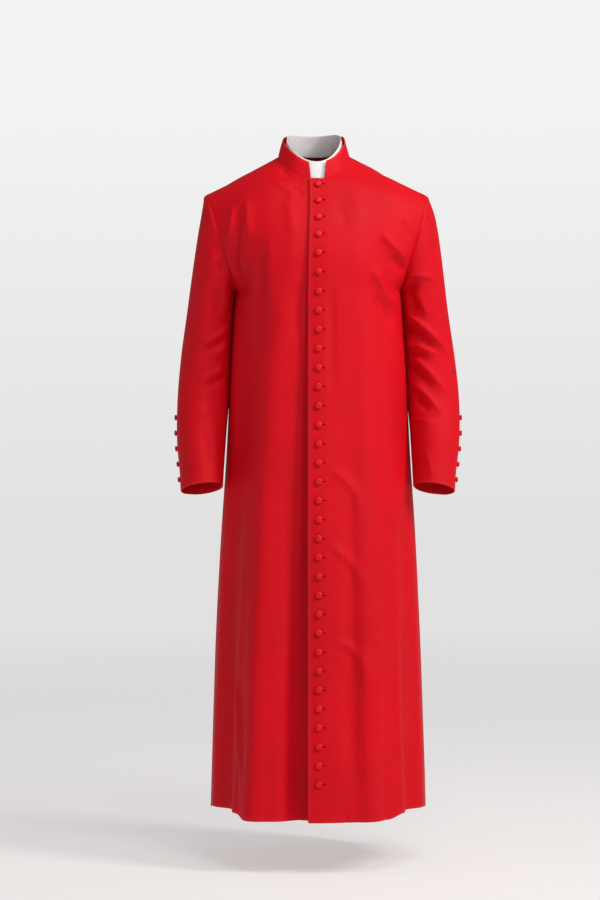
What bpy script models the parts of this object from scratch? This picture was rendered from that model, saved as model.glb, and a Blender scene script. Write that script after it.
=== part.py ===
"""Cassock: worn form, hollow, each cut piece a cloth wall of its own.

Metres, +Z up. +X is the wearer's left, -Y the front. The origin is the middle of the neck opening, level
with the points where collar and shoulder seam meet, which is where a wearer carries the garment.
"""

import math
from collections import namedtuple

import bpy
from mathutils import Vector
from mathutils.bvhtree import BVHTree

# ---- driving sizes -------------------------------------------------------------------------------
CLOTH = 0.0020  # wall of the outer cloth with its facing
SEAM_GAP = 0.0003  # clear distance between pieces
HEM_Z = -1.437
HEM_LIFT, HEM_LIFT_REACH = 0.009, 0.16  # the hem rides up a little in front of each side
UNDERARM_Z = -0.295
SHOULDER_TIP_Z = -0.081

NECK_HALF_WIDTH = 0.080
NECK_FRONT_Y, NECK_BACK_Y = -0.087, 0.078
NECK_FRONT_Z, NECK_SIDE_Z, NECK_BACK_Z = -0.053, 0.000, 0.012
SHOULDER_SEAM_ANGLE = 98.0  # degrees round the neck from the centre front
NECK_LEAN = 0.009  # the neck stands this much towards the wearer's right, as worn
NECK_LEAN_FROM_Z, NECK_LEAN_TO_Z = -0.140, -0.030
NECK_LEAN_FROM_Y, NECK_LEAN_TO_Y = -0.115, -0.010  # and the closed front stays straight

ARMHOLE_X = 0.184  # half width of the body at the underarm
ARMHOLE_LEAN = 0.281  # the armhole's plane leans outwards by this much for each metre of height
ARMHOLE_FRONT, ARMHOLE_BACK = 0.078, 0.084
ARMHOLE_EGG = 0.12  # fuller below its middle
ARMHOLE_Y = 0.004

COLLAR_WALL = 0.0020
COLLAR_TOP_HALF_WIDTH = 0.069
COLLAR_TOP_FRONT_Y, COLLAR_TOP_BACK_Y = -0.077, 0.064
COLLAR_TOP_FRONT_Z, COLLAR_TOP_SIDE_Z, COLLAR_TOP_BACK_Z = -0.017, 0.040, 0.053
COLLAR_RIGHT_END_X, COLLAR_LEFT_END_X = -0.0150, 0.0155  # the two sides of the notch, at its foot
NOTCH_FLARE = 0.0045  # each side of the notch leans out this much at the top

INSERT_WALL = 0.0012
INSERT_SETBACK = 0.0051  # outer face of the band behind the collar's outer face
INSERT_SHOWS = 0.0055  # height of the band above the collar

LAP_WIDTH, LAP_WIDTH_AT_NECK = 0.0215, 0.0178
UNDERLAP_SETBACK = 0.0028  # the right front lies this far behind the left one where they lap
UNDERLAP_BLEND = 0.040

BUTTON_PITCH_TOP, BUTTON_PITCH_LOW = 0.0419, 0.0397  # along the cloth
FRONT_BUTTONS = 33
FIRST_BUTTON_BELOW_NECK = 0.0158
FRONT_BUTTON_DIAMETER, FRONT_BUTTON_HEIGHT = 0.0155, 0.0062
CUFF_BUTTON_DIAMETER, CUFF_BUTTON_HEIGHT = 0.0125, 0.0055
CUFF_BUTTONS = 5
CUFF_BUTTON_PITCH = 0.0338
CUFF_BUTTON_TOP_Z = -0.571

# ---- mesh density --------------------------------------------------------------------------------
ROWS_BELOW = 14  # hem to underarm
ROWS_ABOVE = 16  # underarm to shoulder seam
FRONT_NECK_ROW = 10  # of the rows above the underarm, the one that reaches the neck at the centre front
BACK_NECK_ROW = 11
FRONT_COLUMNS = 14
BACK_COLUMNS = 11
CAP_ROWS, TUBE_ROWS = 6, 8
BUTTON_SIDES = 12

# ---- tables --------------------------------------------------------------------------------------
# The body below the underarm: one row for each level.
Section = namedtuple("Section", "z half_width front back front_round back_round")
BODY = (
    Section(-1.437, 0.2385, -0.248, 0.236, 0.60, 0.57),
    Section(-1.313, 0.2350, -0.233, 0.222, 0.60, 0.57),
    Section(-1.091, 0.2280, -0.212, 0.200, 0.60, 0.58),
    Section(-0.891, 0.2185, -0.194, 0.178, 0.60, 0.59),
    Section(-0.647, 0.2030, -0.175, 0.150, 0.60, 0.60),
    Section(-0.470, 0.1940, -0.165, 0.130, 0.60, 0.61),
    Section(-0.403, 0.1905, -0.163, 0.127, 0.60, 0.61),
    Section(-0.295, 0.1840, -0.161, 0.128, 0.60, 0.61),
)

# The centre lines above the underarm.
Point = namedtuple("Point", "z y")
CENTRE_FRONT = (
    Point(-0.403, -0.163),
    Point(-0.295, -0.161),
    Point(-0.257, -0.160),
    Point(-0.215, -0.1565),
    Point(-0.176, -0.1465),
    Point(-0.138, -0.1315),
    Point(-0.101, -0.113),
    Point(-0.053, -0.087),
)
CENTRE_BACK = (
    Point(-0.403, 0.127),
    Point(-0.295, 0.128),
    Point(-0.220, 0.130),
    Point(-0.150, 0.1265),
    Point(-0.080, 0.115),
    Point(-0.030, 0.098),
    Point(0.012, 0.078),
)

# How a level of cloth leaves its inner edge and reaches the armhole, as Bezier handles; share runs from the
# underarm (0) to the shoulder seam (1).
Handle = namedtuple("Handle", "share inner_x inner_y inner_z outer_x outer_y outer_z")
FRONT_HANDLES = (
    Handle(0.25, 0.108, 0.000, 0.000, -0.021, -0.058, 0.006),
    Handle(0.50, 0.098, 0.000, 0.000, -0.045, -0.046, 0.030),
    Handle(0.625, 0.086, 0.000, 0.000, -0.054, -0.037, 0.038),
    Handle(0.80, 0.066, 0.000, -0.018, -0.060, -0.019, 0.034),
    Handle(1.00, 0.050, 0.000, -0.031, -0.060, 0.000, 0.025),
)
BACK_HANDLES = (
    Handle(0.25, 0.108, 0.000, 0.000, -0.016, 0.044, 0.005),
    Handle(0.50, 0.100, 0.000, 0.000, -0.045, 0.036, 0.024),
    Handle(0.69, 0.084, 0.000, 0.000, -0.058, 0.026, 0.036),
    Handle(0.85, 0.064, 0.000, -0.020, -0.060, 0.012, 0.032),
    Handle(1.00, 0.050, 0.000, -0.031, -0.060, 0.000, 0.025),
)

# Folds of the body: angles in degrees round the body from the centre front (wearer's left positive),
# width is from the crest to where the fold has died out, depth is outwards.
Fold = namedtuple("Fold", "piece top_angle top_z low_angle low_z width depth low_depth fade")
FOLDS = (
    Fold("right", -30, -0.22, -34, -1.46, 0.050, 0.006, 0.022, 0.14),
    Fold("right", -56, -0.28, -62, -1.46, 0.060, -0.005, -0.026, 0.22),
    Fold("placket", -9, -0.14, -11, -1.46, 0.055, -0.004, -0.038, 0.20),
    Fold("all", 8.5, -0.26, 8, -0.56, 0.016, -0.0035, -0.0025, 0.10),
    Fold("left", 19, -0.70, 16.5, -1.42, 0.030, -0.006, -0.009, 0.20),
    Fold("left", 33, -0.24, 28, -1.46, 0.042, 0.003, 0.015, 0.22),
    Fold("left", 59, -0.60, 60, -1.46, 0.055, -0.005, -0.022, 0.30),
    Fold("back", 104, -0.70, 102, -1.46, 0.045, -0.005, -0.010, 0.25),
    Fold("back", -103, -0.75, -105, -1.46, 0.045, -0.005, -0.010, 0.25),
    Fold("back", 118, -0.62, 116, -1.46, 0.040, 0.004, 0.010, 0.30),
    Fold("back", 139, -0.55, 141, -1.46, 0.045, -0.005, -0.012, 0.30),
    Fold("back", 163, -0.50, 161, -1.46, 0.042, 0.005, 0.012, 0.30),
    Fold("back", -120, -0.58, -118, -1.46, 0.040, 0.004, 0.011, 0.30),
    Fold("back", -142, -0.62, -139, -1.46, 0.045, -0.005, -0.011, 0.30),
    Fold("back", -160, -0.52, -162, -1.46, 0.042, 0.005, 0.011, 0.30),
    Fold("back", 180, -0.60, 180, -1.46, 0.040, -0.003, -0.008, 0.30),
)

# The sleeve below its cap: the middle of each ring and its half sizes.
Ring = namedtuple("Ring", "z x y half_width half_depth")
SLEEVE = (
    Ring(-0.360, 0.2408, 0.014, 0.0522, 0.069),
    Ring(-0.440, 0.2488, 0.015, 0.0557, 0.067),
    Ring(-0.540, 0.2554, 0.000, 0.0575, 0.062),
    Ring(-0.630, 0.2571, -0.034, 0.0539, 0.056),
    Ring(-0.700, 0.2550, -0.056, 0.0480, 0.051),
    Ring(-0.731, 0.2546, -0.065, 0.0464, 0.050),
)
CUFF_RISE_FORWARD, CUFF_RISE_INWARD = 0.26, 0.13  # slope of the cuff's edge

# Folds of a sleeve: angles in degrees round the arm (0 outside, 90 front, 180 against the body).
SLEEVE_FOLDS = (
    Fold("sleeve", 60, -0.335, 150, -0.350, 0.018, 0.003, 0.004, 0.03),
    Fold("sleeve", 40, -0.425, 140, -0.375, 0.020, 0.004, 0.005, 0.03),
    Fold("sleeve", 30, -0.455, 130, -0.405, 0.018, -0.004, -0.004, 0.03),
    Fold("sleeve", 60, -0.545, 150, -0.520, 0.020, 0.003, 0.004, 0.03),
)


# ---- curves --------------------------------------------------------------------------------------
def smooth(share):
    """0 to 1 with level ends."""
    share = min(max(share, 0.0), 1.0)
    return share * share * (3 - 2 * share)


def table_value(rows, key, column, at):
    """A column read between its rows along a smooth curve through them."""
    rows = sorted(rows, key=lambda row: getattr(row, key))
    keys = [getattr(row, key) for row in rows]
    values = [getattr(row, column) for row in rows]
    at = min(max(at, keys[0]), keys[-1])
    index = max(i for i in range(len(rows) - 1) if keys[i] <= at)
    slopes = [(values[i + 1] - values[i]) / (keys[i + 1] - keys[i]) for i in range(len(rows) - 1)]

    def slope_at(i):
        if i in (0, len(rows) - 1):
            return slopes[min(i, len(slopes) - 1)]
        left, right = keys[i] - keys[i - 1], keys[i + 1] - keys[i]
        return (slopes[i - 1] * right + slopes[i] * left) / (left + right)

    run = keys[index + 1] - keys[index]
    t = (at - keys[index]) / run
    return hermite(
        values[index], slope_at(index) * run, values[index + 1], slope_at(index + 1) * run, t
    )


def hermite(start, start_slope, end, end_slope, t):
    t2, t3 = t * t, t * t * t
    return (
        start * (2 * t3 - 3 * t2 + 1)
        + start_slope * (t3 - 2 * t2 + t)
        + end * (3 * t2 - 2 * t3)
        + end_slope * (t3 - t2)
    )


def bezier(a, b, c, d, t):
    u = 1 - t
    return a * u**3 + b * 3 * u * u * t + c * 3 * u * t * t + d * t**3


def oval(angle, half_width, front, back, front_z, side_z, back_z):
    """A neck ring's point on the wearer's left; angle in degrees from the centre front."""
    turn = math.radians(angle)
    middle_y, half_depth = (front + back) / 2, (back - front) / 2
    middle_z, half_rise = (front_z + back_z) / 2, (back_z - front_z) / 2
    rise = middle_z - half_rise * math.cos(turn) + (side_z - middle_z) * math.sin(turn) ** 2
    return Vector((half_width * math.sin(turn), middle_y - half_depth * math.cos(turn), rise))


def neck_point(angle):
    return oval(
        angle, NECK_HALF_WIDTH, NECK_FRONT_Y, NECK_BACK_Y, NECK_FRONT_Z, NECK_SIDE_Z, NECK_BACK_Z
    )


def collar_top_point(angle):
    return oval(
        angle,
        COLLAR_TOP_HALF_WIDTH,
        COLLAR_TOP_FRONT_Y,
        COLLAR_TOP_BACK_Y,
        COLLAR_TOP_FRONT_Z,
        COLLAR_TOP_SIDE_Z,
        COLLAR_TOP_BACK_Z,
    )


def armhole_point(angle):
    """The armhole on the wearer's left: 0 at the shoulder tip, 90 front, 180 underarm, 270 back."""
    turn = math.radians(angle)
    middle_z, half_height = (SHOULDER_TIP_Z + UNDERARM_Z) / 2, (SHOULDER_TIP_Z - UNDERARM_Z) / 2
    half_depth = ARMHOLE_FRONT if math.sin(turn) > 0 else ARMHOLE_BACK
    z = middle_z + half_height * math.cos(turn)
    y = ARMHOLE_Y - half_depth * math.sin(turn) * (1 - ARMHOLE_EGG * math.cos(turn))
    return Vector((ARMHOLE_X + ARMHOLE_LEAN * (z - UNDERARM_Z), y, z))


ARMHOLE_OUTWARDS = Vector((1, 0, -ARMHOLE_LEAN)).normalized()


# ---- the body's surface --------------------------------------------------------------------------
def body_row(face, level):
    """The four Bezier points of one level of the front or back, on the wearer's left.

    level runs from -1 at the hem through 0 at the underarm to 1 at the shoulder seam.
    """
    sign = -1 if face == "front" else 1
    neck_level = (FRONT_NECK_ROW if face == "front" else BACK_NECK_ROW) / ROWS_ABOVE
    if level <= 0:
        z = UNDERARM_Z + level * (UNDERARM_Z - HEM_Z)
        width = table_value(BODY, "z", "half_width", z)
        centre_y = table_value(BODY, "z", face, z)
        roundness = table_value(BODY, "z", face + "_round", z)
        inner = Vector((0, centre_y, z))
        outer = Vector((width, ARMHOLE_Y * (1 + level), z))
        inner_handle = Vector((roundness * width, 0, 0))
        outer_handle = Vector((0, roundness * (centre_y - outer.y), 0))
        return inner, inner + inner_handle, outer + outer_handle, outer
    outer = armhole_point(-sign * 180 * (1 - level))
    if level <= neck_level:
        neck_z = NECK_FRONT_Z if face == "front" else NECK_BACK_Z
        line = CENTRE_FRONT if face == "front" else CENTRE_BACK
        z = UNDERARM_Z + level / neck_level * (neck_z - UNDERARM_Z)
        inner = Vector((0, table_value(line, "z", "y", z), z))
    else:
        share = (level - neck_level) / (1 - neck_level)
        start = 0 if face == "front" else 180
        inner = neck_point(start + share * (SHOULDER_SEAM_ANGLE - start))
    width, centre_y = BODY[-1].half_width, getattr(BODY[-1], face)
    roundness = getattr(BODY[-1], face + "_round")
    at_underarm = Handle(0.0, roundness * width, 0, 0, 0, roundness * (centre_y - ARMHOLE_Y), 0)
    rows = (at_underarm,) + (FRONT_HANDLES if face == "front" else BACK_HANDLES)
    parts = [table_value(rows, "share", column, level) for column in Handle._fields[1:]]
    return inner, inner + Vector(parts[:3]), outer + Vector(parts[3:]), outer


def body_point(face, level, share):
    """A point of the smooth form; share runs from the inner edge (0) to the side or armhole (1)."""
    point = bezier(*body_row(face, level), abs(share))
    return Vector((math.copysign(1, share) * point.x, point.y, point.z))


def body_normal(face, level, share):
    step = 0.002
    low, high = (level - step, level) if level <= 0 else (max(level - step, 0.004), min(level + step, 1))
    side, share = math.copysign(1, share), abs(share)
    rising = body_point(face, high, share) - body_point(face, low, share)
    neck_level = (FRONT_NECK_ROW if face == "front" else BACK_NECK_ROW) / ROWS_ABOVE
    inner = share - step if level <= neck_level else max(share - step, 0)
    across = body_point(face, level, min(share + step, 1)) - body_point(face, level, inner)
    normal = across.cross(rising).normalized()
    if face == "back":
        normal.negate()
    return Vector((side * normal.x, normal.y, normal.z))


def lap_share(level, x):
    """The share at which a front level reaches x from the centre line."""
    row = body_row("front", level)
    low, high = 0.0, 0.5
    for _ in range(24):
        middle = (low + high) / 2
        low, high = (middle, high) if bezier(*row, middle).x < x else (low, middle)
    return low


def fold_depth(folds, pieces, angle, z, girth_per_degree):
    """How far the folds move the cloth outwards here."""
    total = 0.0
    for fold in folds:
        if fold.piece not in pieces:
            continue
        run = (fold.top_z - z) / (fold.top_z - fold.low_z)
        if not -0.2 < run < 1.2:
            continue
        centre = fold.top_angle + (fold.low_angle - fold.top_angle) * run
        away = (angle - centre + 180) % 360 - 180
        across = abs(away) * girth_per_degree / fold.width
        if across < 1:
            depth = fold.depth + (fold.low_depth - fold.depth) * smooth(run)
            ends = smooth((fold.top_z - z) / fold.fade)
            if fold.low_z > HEM_Z:
                ends *= smooth((z - fold.low_z) / fold.fade)
            total += depth * ends * (1 + math.cos(math.pi * across)) / 2
    return total


def body_angle(point):
    width = table_value(BODY, "z", "half_width", point.z)
    depth = abs(table_value(BODY, "z", "front" if point.y < 0 else "back", point.z))
    return math.degrees(math.atan2(point.x / width, -point.y / depth))


def clothed_point(piece, level, share):
    """A point of a panel's outer face, with its folds."""
    face = "back" if piece == "back" else "front"
    point = body_point(face, level, share)
    pieces = {"left": ("left", "all"), "right": ("right", "all", "placket"), "back": ("back", "all")}[piece]
    girth = math.radians(table_value(BODY, "z", "half_width", point.z))
    angle = body_angle(point)
    depth = fold_depth(FOLDS, pieces, angle, point.z, girth)
    if level > 0:
        depth *= smooth((1 - level) / 0.4) * smooth((1 - abs(share)) / 0.25)
    point = point + body_normal(face, level, share) * depth
    if piece != "back":
        before_side = smooth((90 - abs(angle)) / 14) * smooth((abs(angle) - 46) / 14)
        point.z += HEM_LIFT * before_side * smooth((HEM_Z + HEM_LIFT_REACH - point.z) / HEM_LIFT_REACH)
    if piece == "right":
        point.y += underlap(point.x)
    return point


def underlap(x):
    """How far the right front and its end of the collar are set back."""
    return UNDERLAP_SETBACK * smooth(1 - (-x - LAP_WIDTH) / UNDERLAP_BLEND)


# ---- the sleeve's surface ------------------------------------------------------------------------
def sleeve_ring_point(angle, z):
    turn = math.radians(angle)
    x, y, half_width, half_depth = (
        table_value(SLEEVE, "z", column, z) for column in ("x", "y", "half_width", "half_depth")
    )
    out, back = half_width * math.cos(turn), -half_depth * math.sin(turn)
    turned = smooth((SLEEVE[0].z - z) / (SLEEVE[0].z - SLEEVE[-1].z))
    rise = -turned * (CUFF_RISE_FORWARD * back + CUFF_RISE_INWARD * out)
    return Vector((x + out, y + back, z + rise))


def sleeve_point(angle, along):
    """along runs from 0 at the armhole through 1 at the first full ring to 2 at the cuff."""
    if along >= 1:
        z = SLEEVE[0].z + (along - 1) * (SLEEVE[-1].z - SLEEVE[0].z)
        return sleeve_ring_point(angle, z)
    turn = math.radians(angle)
    start = armhole_point(angle) + ARMHOLE_OUTWARDS * SEAM_GAP
    end = sleeve_ring_point(angle, SLEEVE[0].z)
    outer = (1 + math.cos(turn)) / 2  # 1 over the shoulder, 0 underarm
    side = math.sin(turn)
    start_slope = Vector((0.020 + 0.045 * (1 - (1 - outer) ** 2), -0.020 * side, -0.045 - 0.055 * outer))
    below = sleeve_ring_point(angle, SLEEVE[0].z - 0.004)
    end_slope = (below - end) / 0.004 * (start.z - end.z)
    return hermite(start, start_slope, end, end_slope, along)


def sleeve_normal(angle, along):
    step = 0.004
    around = sleeve_point(angle + 1, along) - sleeve_point(angle - 1, along)
    down = sleeve_point(angle, min(along + step, 2)) - sleeve_point(angle, max(along - step, 0))
    return around.cross(down).normalized()


def sleeve_clothed_point(angle, along):
    point = sleeve_point(angle, along)
    depth = fold_depth(SLEEVE_FOLDS, ("sleeve",), angle, point.z, math.radians(SLEEVE[2].half_depth))
    return point + sleeve_normal(angle, along) * depth


# ---- walls ---------------------------------------------------------------------------------------
def material(name, colour, roughness):
    made = bpy.data.materials.new(name)
    made.use_nodes = True
    shader = made.node_tree.nodes["Principled BSDF"]
    shader.inputs["Base Color"].default_value = (*colour, 1)
    shader.inputs["Roughness"].default_value = roughness
    made.diffuse_color = (*colour, 1)
    return made


def add_object(name, vertices, faces, finish):
    mesh = bpy.data.meshes.new(name)
    mesh.from_pydata([tuple(v) for v in vertices], [], faces)
    mesh.materials.append(finish)
    mesh.shade_smooth()
    mesh.set_sharp_from_angle(angle=math.radians(40))
    made = bpy.data.objects.new(name, mesh)
    bpy.context.scene.collection.objects.link(made)
    return made


def grid_cells(keys, columns_wrap=None):
    """The cells of a grid of (row, column) keys, each as four keys turning the same way."""
    cells = []
    for row, column in sorted(keys):
        following = column + 1
        if columns_wrap:
            following %= columns_wrap
        corners = [(row, column), (row, following), (row + 1, following), (row + 1, column)]
        if all(corner in keys for corner in corners):
            cells.append(corners)
    return cells


def leaned(point):
    """The point as worn, with the neck a little to one side."""
    height = smooth((point.z - NECK_LEAN_FROM_Z) / (NECK_LEAN_TO_Z - NECK_LEAN_FROM_Z))
    behind = smooth((point.y - NECK_LEAN_FROM_Y) / (NECK_LEAN_TO_Y - NECK_LEAN_FROM_Y))
    return point - Vector((NECK_LEAN * height * behind, 0, 0))


def add_wall(name, outer, inward, cells, finish):
    """A closed wall: the outer face's points, a copy moved by inward, and the edges between them."""
    outer = {key: leaned(point) for key, point in outer.items()}
    order = {key: index for index, key in enumerate(outer)}
    vertices = list(outer.values()) + [outer[key] + inward[key] for key in outer]
    count = len(order)
    faces, edges = [], {}
    for a, b, c, d in cells:
        if (outer[a] - outer[c]).length <= (outer[b] - outer[d]).length:
            halves = ((a, b, c), (a, c, d))
        else:
            halves = ((a, b, d), (b, c, d))
        for half in halves:
            i, j, k = (order[key] for key in half)
            faces += [(i, j, k), (i + count, k + count, j + count)]
            for start, end in ((i, j), (j, k), (k, i)):
                edges[start, end] = edges.pop((end, start), None) is None
    for (start, end), open_edge in list(edges.items()):
        if open_edge and (end, start) not in edges:
            faces += [(end, start, start + count), (end, start + count, end + count)]
    made = add_object(name, vertices, faces, finish)
    if signed_volume(made.data) < 0:
        made.data.flip_normals()
    return made


def signed_volume(mesh):
    mesh.calc_loop_triangles()
    points = mesh.vertices
    return sum(
        points[t.vertices[0]].co.dot(points[t.vertices[1]].co.cross(points[t.vertices[2]].co))
        for t in mesh.loop_triangles
    )


def armhole_inward(angle, own):
    """The edge of the panel or the sleeve at the armhole: a mitre where they bend away, and else square."""
    face = "front" if math.sin(math.radians(angle)) > 0 or angle == 0 else "back"
    level = 1 - min(angle, 360 - angle) / 180
    panel = body_normal(face, level, 1)
    if level == 1:
        panel = (body_normal("front", 1, 1) + body_normal("back", 1, 1)).normalized()
    sleeve = sleeve_normal(angle, 0)
    leaving = sleeve_point(angle, 0.02) - sleeve_point(angle, 0)
    if leaving.dot(panel) >= 0:
        return (-panel if own == "panel" else -sleeve) * CLOTH
    both = (panel + sleeve).normalized()
    return -both * CLOTH / max(both.dot(panel), 0.6)


def panel_inward(piece, level, share):
    face = "back" if piece == "back" else "front"
    if level == 1 and abs(share) < 1:
        both = body_normal("front", 1, share) + body_normal("back", 1, share)
        return -both.normalized() * CLOTH
    if level > 0 and abs(share) == 1:
        angle = 180 * (1 - level) if face == "front" else (360 - 180 * (1 - level)) % 360
        inward = armhole_inward(angle, "panel")
        return Vector((math.copysign(1, share) * inward.x, inward.y, inward.z))
    return -body_normal(face, level, share) * CLOTH


def levels():
    below = [-1 + row / ROWS_BELOW for row in range(ROWS_BELOW)]
    return below + [row / ROWS_ABOVE for row in range(ROWS_ABOVE + 1)]


def seam_shift(piece, level, share):
    """Half a seam's gap, off the side and shoulder seams."""
    on_seam = level == 1 or (abs(share) == 1 and level <= 0)
    half = SEAM_GAP / 2
    return Vector((0, (half if piece == "back" else -half) if on_seam else 0, 0))


def front_shares(level, side):
    """The shares across a front: its lap past the centre line first, then out to the side."""
    lap = LAP_WIDTH + (LAP_WIDTH_AT_NECK - LAP_WIDTH) * smooth(level / (FRONT_NECK_ROW / ROWS_ABOVE))
    edge = lap_share(min(level, FRONT_NECK_ROW / ROWS_ABOVE), lap)
    body = [edge + (1 - edge) * step / FRONT_COLUMNS for step in range(1, FRONT_COLUMNS + 1)]
    inner = [0.0, edge / 2, edge]
    if level <= FRONT_NECK_ROW / ROWS_ABOVE:
        inner = [-edge, -edge / 2] + inner
    else:
        inner = [None, None] + inner
    return [None if share is None else side * share for share in inner + body]


def add_front(name, piece, side, finish):
    outer, inward = {}, {}
    for row, level in enumerate(levels()):
        for column, share in enumerate(front_shares(level, side)):
            if share is None:
                continue
            outer[row, column] = clothed_point(piece, level, share) + seam_shift(piece, level, share)
            inward[row, column] = panel_inward(piece, level, share)
    return add_wall(name, outer, inward, grid_cells(outer), finish)


def add_back(finish):
    outer, inward, cells = {}, {}, []
    for row, level in enumerate(levels()):
        for step in range(-BACK_COLUMNS, BACK_COLUMNS + 1):
            share = step / BACK_COLUMNS
            outer[row, step] = clothed_point("back", level, share) + seam_shift("back", level, share)
            inward[row, step] = panel_inward("back", level, share)
    neck_row = ROWS_BELOW + BACK_NECK_ROW
    for row in range(neck_row + 1, ROWS_BELOW + ROWS_ABOVE + 1):
        right = outer[row, 0]
        outer[row, -0.5] = Vector((-right.x, right.y, right.z))
        inward[row, -0.5] = Vector((-inward[row, 0].x, inward[row, 0].y, inward[row, 0].z))
    for corners in grid_cells({key for key in outer if key[1] != -0.5}):
        if corners[0][1] == -1:
            corners = [(r, -0.5 if c == 0 and r > neck_row else c) for r, c in corners]
        cells.append(corners)
    return add_wall("back", outer, inward, cells, finish)


def add_sleeve(name, side, finish):
    stations = [180 * step / ROWS_ABOVE for step in range(2 * ROWS_ABOVE)]
    along = [step / CAP_ROWS for step in range(CAP_ROWS)]
    along += [1 + step / TUBE_ROWS for step in range(TUBE_ROWS + 1)]
    mirror = Vector((side, 1, 1))
    outer, inward = {}, {}
    for row, place in enumerate(along):
        for column, angle in enumerate(stations):
            wall = armhole_inward(angle, "sleeve") if row == 0 else -sleeve_normal(angle, place) * CLOTH
            outer[row, column] = sleeve_clothed_point(angle, place) * mirror
            inward[row, column] = wall * mirror
    return add_wall(name, outer, inward, grid_cells(outer, len(stations)), finish)


# ---- the collar and its band ---------------------------------------------------------------------
def neck_stations():
    """Signed angles round the neck that the panels' edges pass, from one side of the front to the other."""
    steps = ROWS_ABOVE - FRONT_NECK_ROW
    front = [SHOULDER_SEAM_ANGLE * i / steps for i in range(1, steps + 1)]
    steps = ROWS_ABOVE - BACK_NECK_ROW
    back = [SHOULDER_SEAM_ANGLE + (180 - SHOULDER_SEAM_ANGLE) * i / steps for i in range(1, steps + 1)]
    half = front + back
    return half + [360 - angle for angle in reversed(half[:-1])]


def collar_point(angle, height):
    """height runs from 0 at the neck seam to 1 at the collar's top."""
    turned = angle if angle <= 180 else 360 - angle
    point = neck_point(turned).lerp(collar_top_point(turned), height)
    return point if angle <= 180 else Vector((-point.x, point.y, point.z))


def collar_normal(angle, height):
    around = collar_point((angle + 1) % 360, height) - collar_point((angle - 1) % 360, height)
    up = collar_point(angle, height + 0.01) - collar_point(angle, height - 0.01)
    return around.cross(up).normalized()


def collar_end_point(end_x, station, height):
    """A point of the notch's side; its foot lies on the straight edge from the centre front to a station."""
    beside = collar_point(station, 0)
    share = end_x / beside.x
    foot = collar_point(0, 0).lerp(beside, share)
    top = collar_point(0, 1).lerp(collar_point(station, 1), share)
    top.x += math.copysign(NOTCH_FLARE, beside.x)
    return foot.lerp(top, height)


def add_collar(finish):
    stations = neck_stations()
    columns = [COLLAR_LEFT_END_X] + stations + [COLLAR_RIGHT_END_X]
    heights = (0, 0.33, 0.67, 1)
    outer, inward = {}, {}
    for row, height in enumerate(heights):
        for column, angle in enumerate(columns):
            if column in (0, len(columns) - 1):
                station = stations[0 if column == 0 else -1]
                point = collar_end_point(angle, station, height)
                angle = 0.0
            else:
                point = collar_point(angle, height)
            if row == 0:
                point += (collar_point(angle, 1) - collar_point(angle, 0)).normalized() * SEAM_GAP
            if point.x < 0 and point.y < 0:
                point.y += underlap(point.x)
            outer[row, column] = point
            inward[row, column] = -collar_normal(angle, height) * COLLAR_WALL
    return add_wall("collar", outer, inward, grid_cells(outer), finish)


def add_insert(finish):
    angles = [0.0] + neck_stations()
    tall = (collar_point(180, 1) - collar_point(180, 0)).length
    heights = (0.02, 0.5, 1 + INSERT_SHOWS / tall)
    outer, inward = {}, {}
    for row, height in enumerate(heights):
        for column, angle in enumerate(angles):
            normal = collar_normal(angle, height)
            outer[row, column] = collar_point(angle, height) - normal * INSERT_SETBACK
            inward[row, column] = -normal * INSERT_WALL
    return add_wall("collar_insert", outer, inward, grid_cells(outer, len(angles)), finish)


# ---- buttons -------------------------------------------------------------------------------------
def tree_of(made):
    mesh = made.data
    return BVHTree.FromPolygons([v.co for v in mesh.vertices], [tuple(p.vertices) for p in mesh.polygons])


def seat(tree, point, outward, radius):
    """Where a flat back of this radius just clears the cloth, coming in from outside."""
    reach = 0.03
    side = outward.orthogonal().normalized()
    rests = []
    for turn in range(0, 360, 30):
        arm = side * math.cos(math.radians(turn)) + outward.cross(side) * math.sin(math.radians(turn))
        for share in (0, 0.5, 1):
            hit = tree.ray_cast(point + outward * reach + arm * radius * share, -outward, 2 * reach)
            if hit[0] is not None:
                rests.append(reach - hit[3])
    return point + outward * (max(rests) + SEAM_GAP)


def add_button(name, place, outward, diameter, height, finish):
    """A covered button: flat back, rolled edge, domed face."""
    radius = diameter / 2
    profile = (
        (0.78, 0.00),
        (1.00, 0.30),
        (0.86, 0.68),
        (0.50, 0.93),
    )
    side = outward.orthogonal().normalized()
    other = outward.cross(side)
    vertices, faces = [], []
    for wide, tall in profile:
        for step in range(BUTTON_SIDES):
            turn = 2 * math.pi * step / BUTTON_SIDES
            arm = side * math.cos(turn) + other * math.sin(turn)
            vertices.append(place + arm * radius * wide + outward * height * tall)
    for ring in range(len(profile) - 1):
        for step in range(BUTTON_SIDES):
            after = (step + 1) % BUTTON_SIDES
            low, high = ring * BUTTON_SIDES, (ring + 1) * BUTTON_SIDES
            faces.append((low + step, low + after, high + after, high + step))
    faces.append(tuple(reversed(range(BUTTON_SIDES))))
    top = len(vertices)
    vertices.append(place + outward * height)
    last = (len(profile) - 1) * BUTTON_SIDES
    faces += [(last + i, last + (i + 1) % BUTTON_SIDES, top) for i in range(BUTTON_SIDES)]
    return add_object(name, vertices, faces, finish)


def front_button_places():
    """Points down the centre front, evenly spaced along the cloth."""
    top = FRONT_NECK_ROW / ROWS_ABOVE
    steps = 4000
    walked, wanted, places = 0.0, FIRST_BUTTON_BELOW_NECK, []
    previous = clothed_point("left", top, 0)
    for step in range(1, steps + 1):
        level = top - (top + 1) * step / steps
        point = clothed_point("left", level, 0)
        walked += (point - previous).length
        if walked >= wanted:
            share = len(places) / (FRONT_BUTTONS - 1)
            wanted += BUTTON_PITCH_TOP + (BUTTON_PITCH_LOW - BUTTON_PITCH_TOP) * share
            places.append((leaned(point), body_normal("front", level, 0)))
            if len(places) == FRONT_BUTTONS:
                break
        previous = point
    return places


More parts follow.
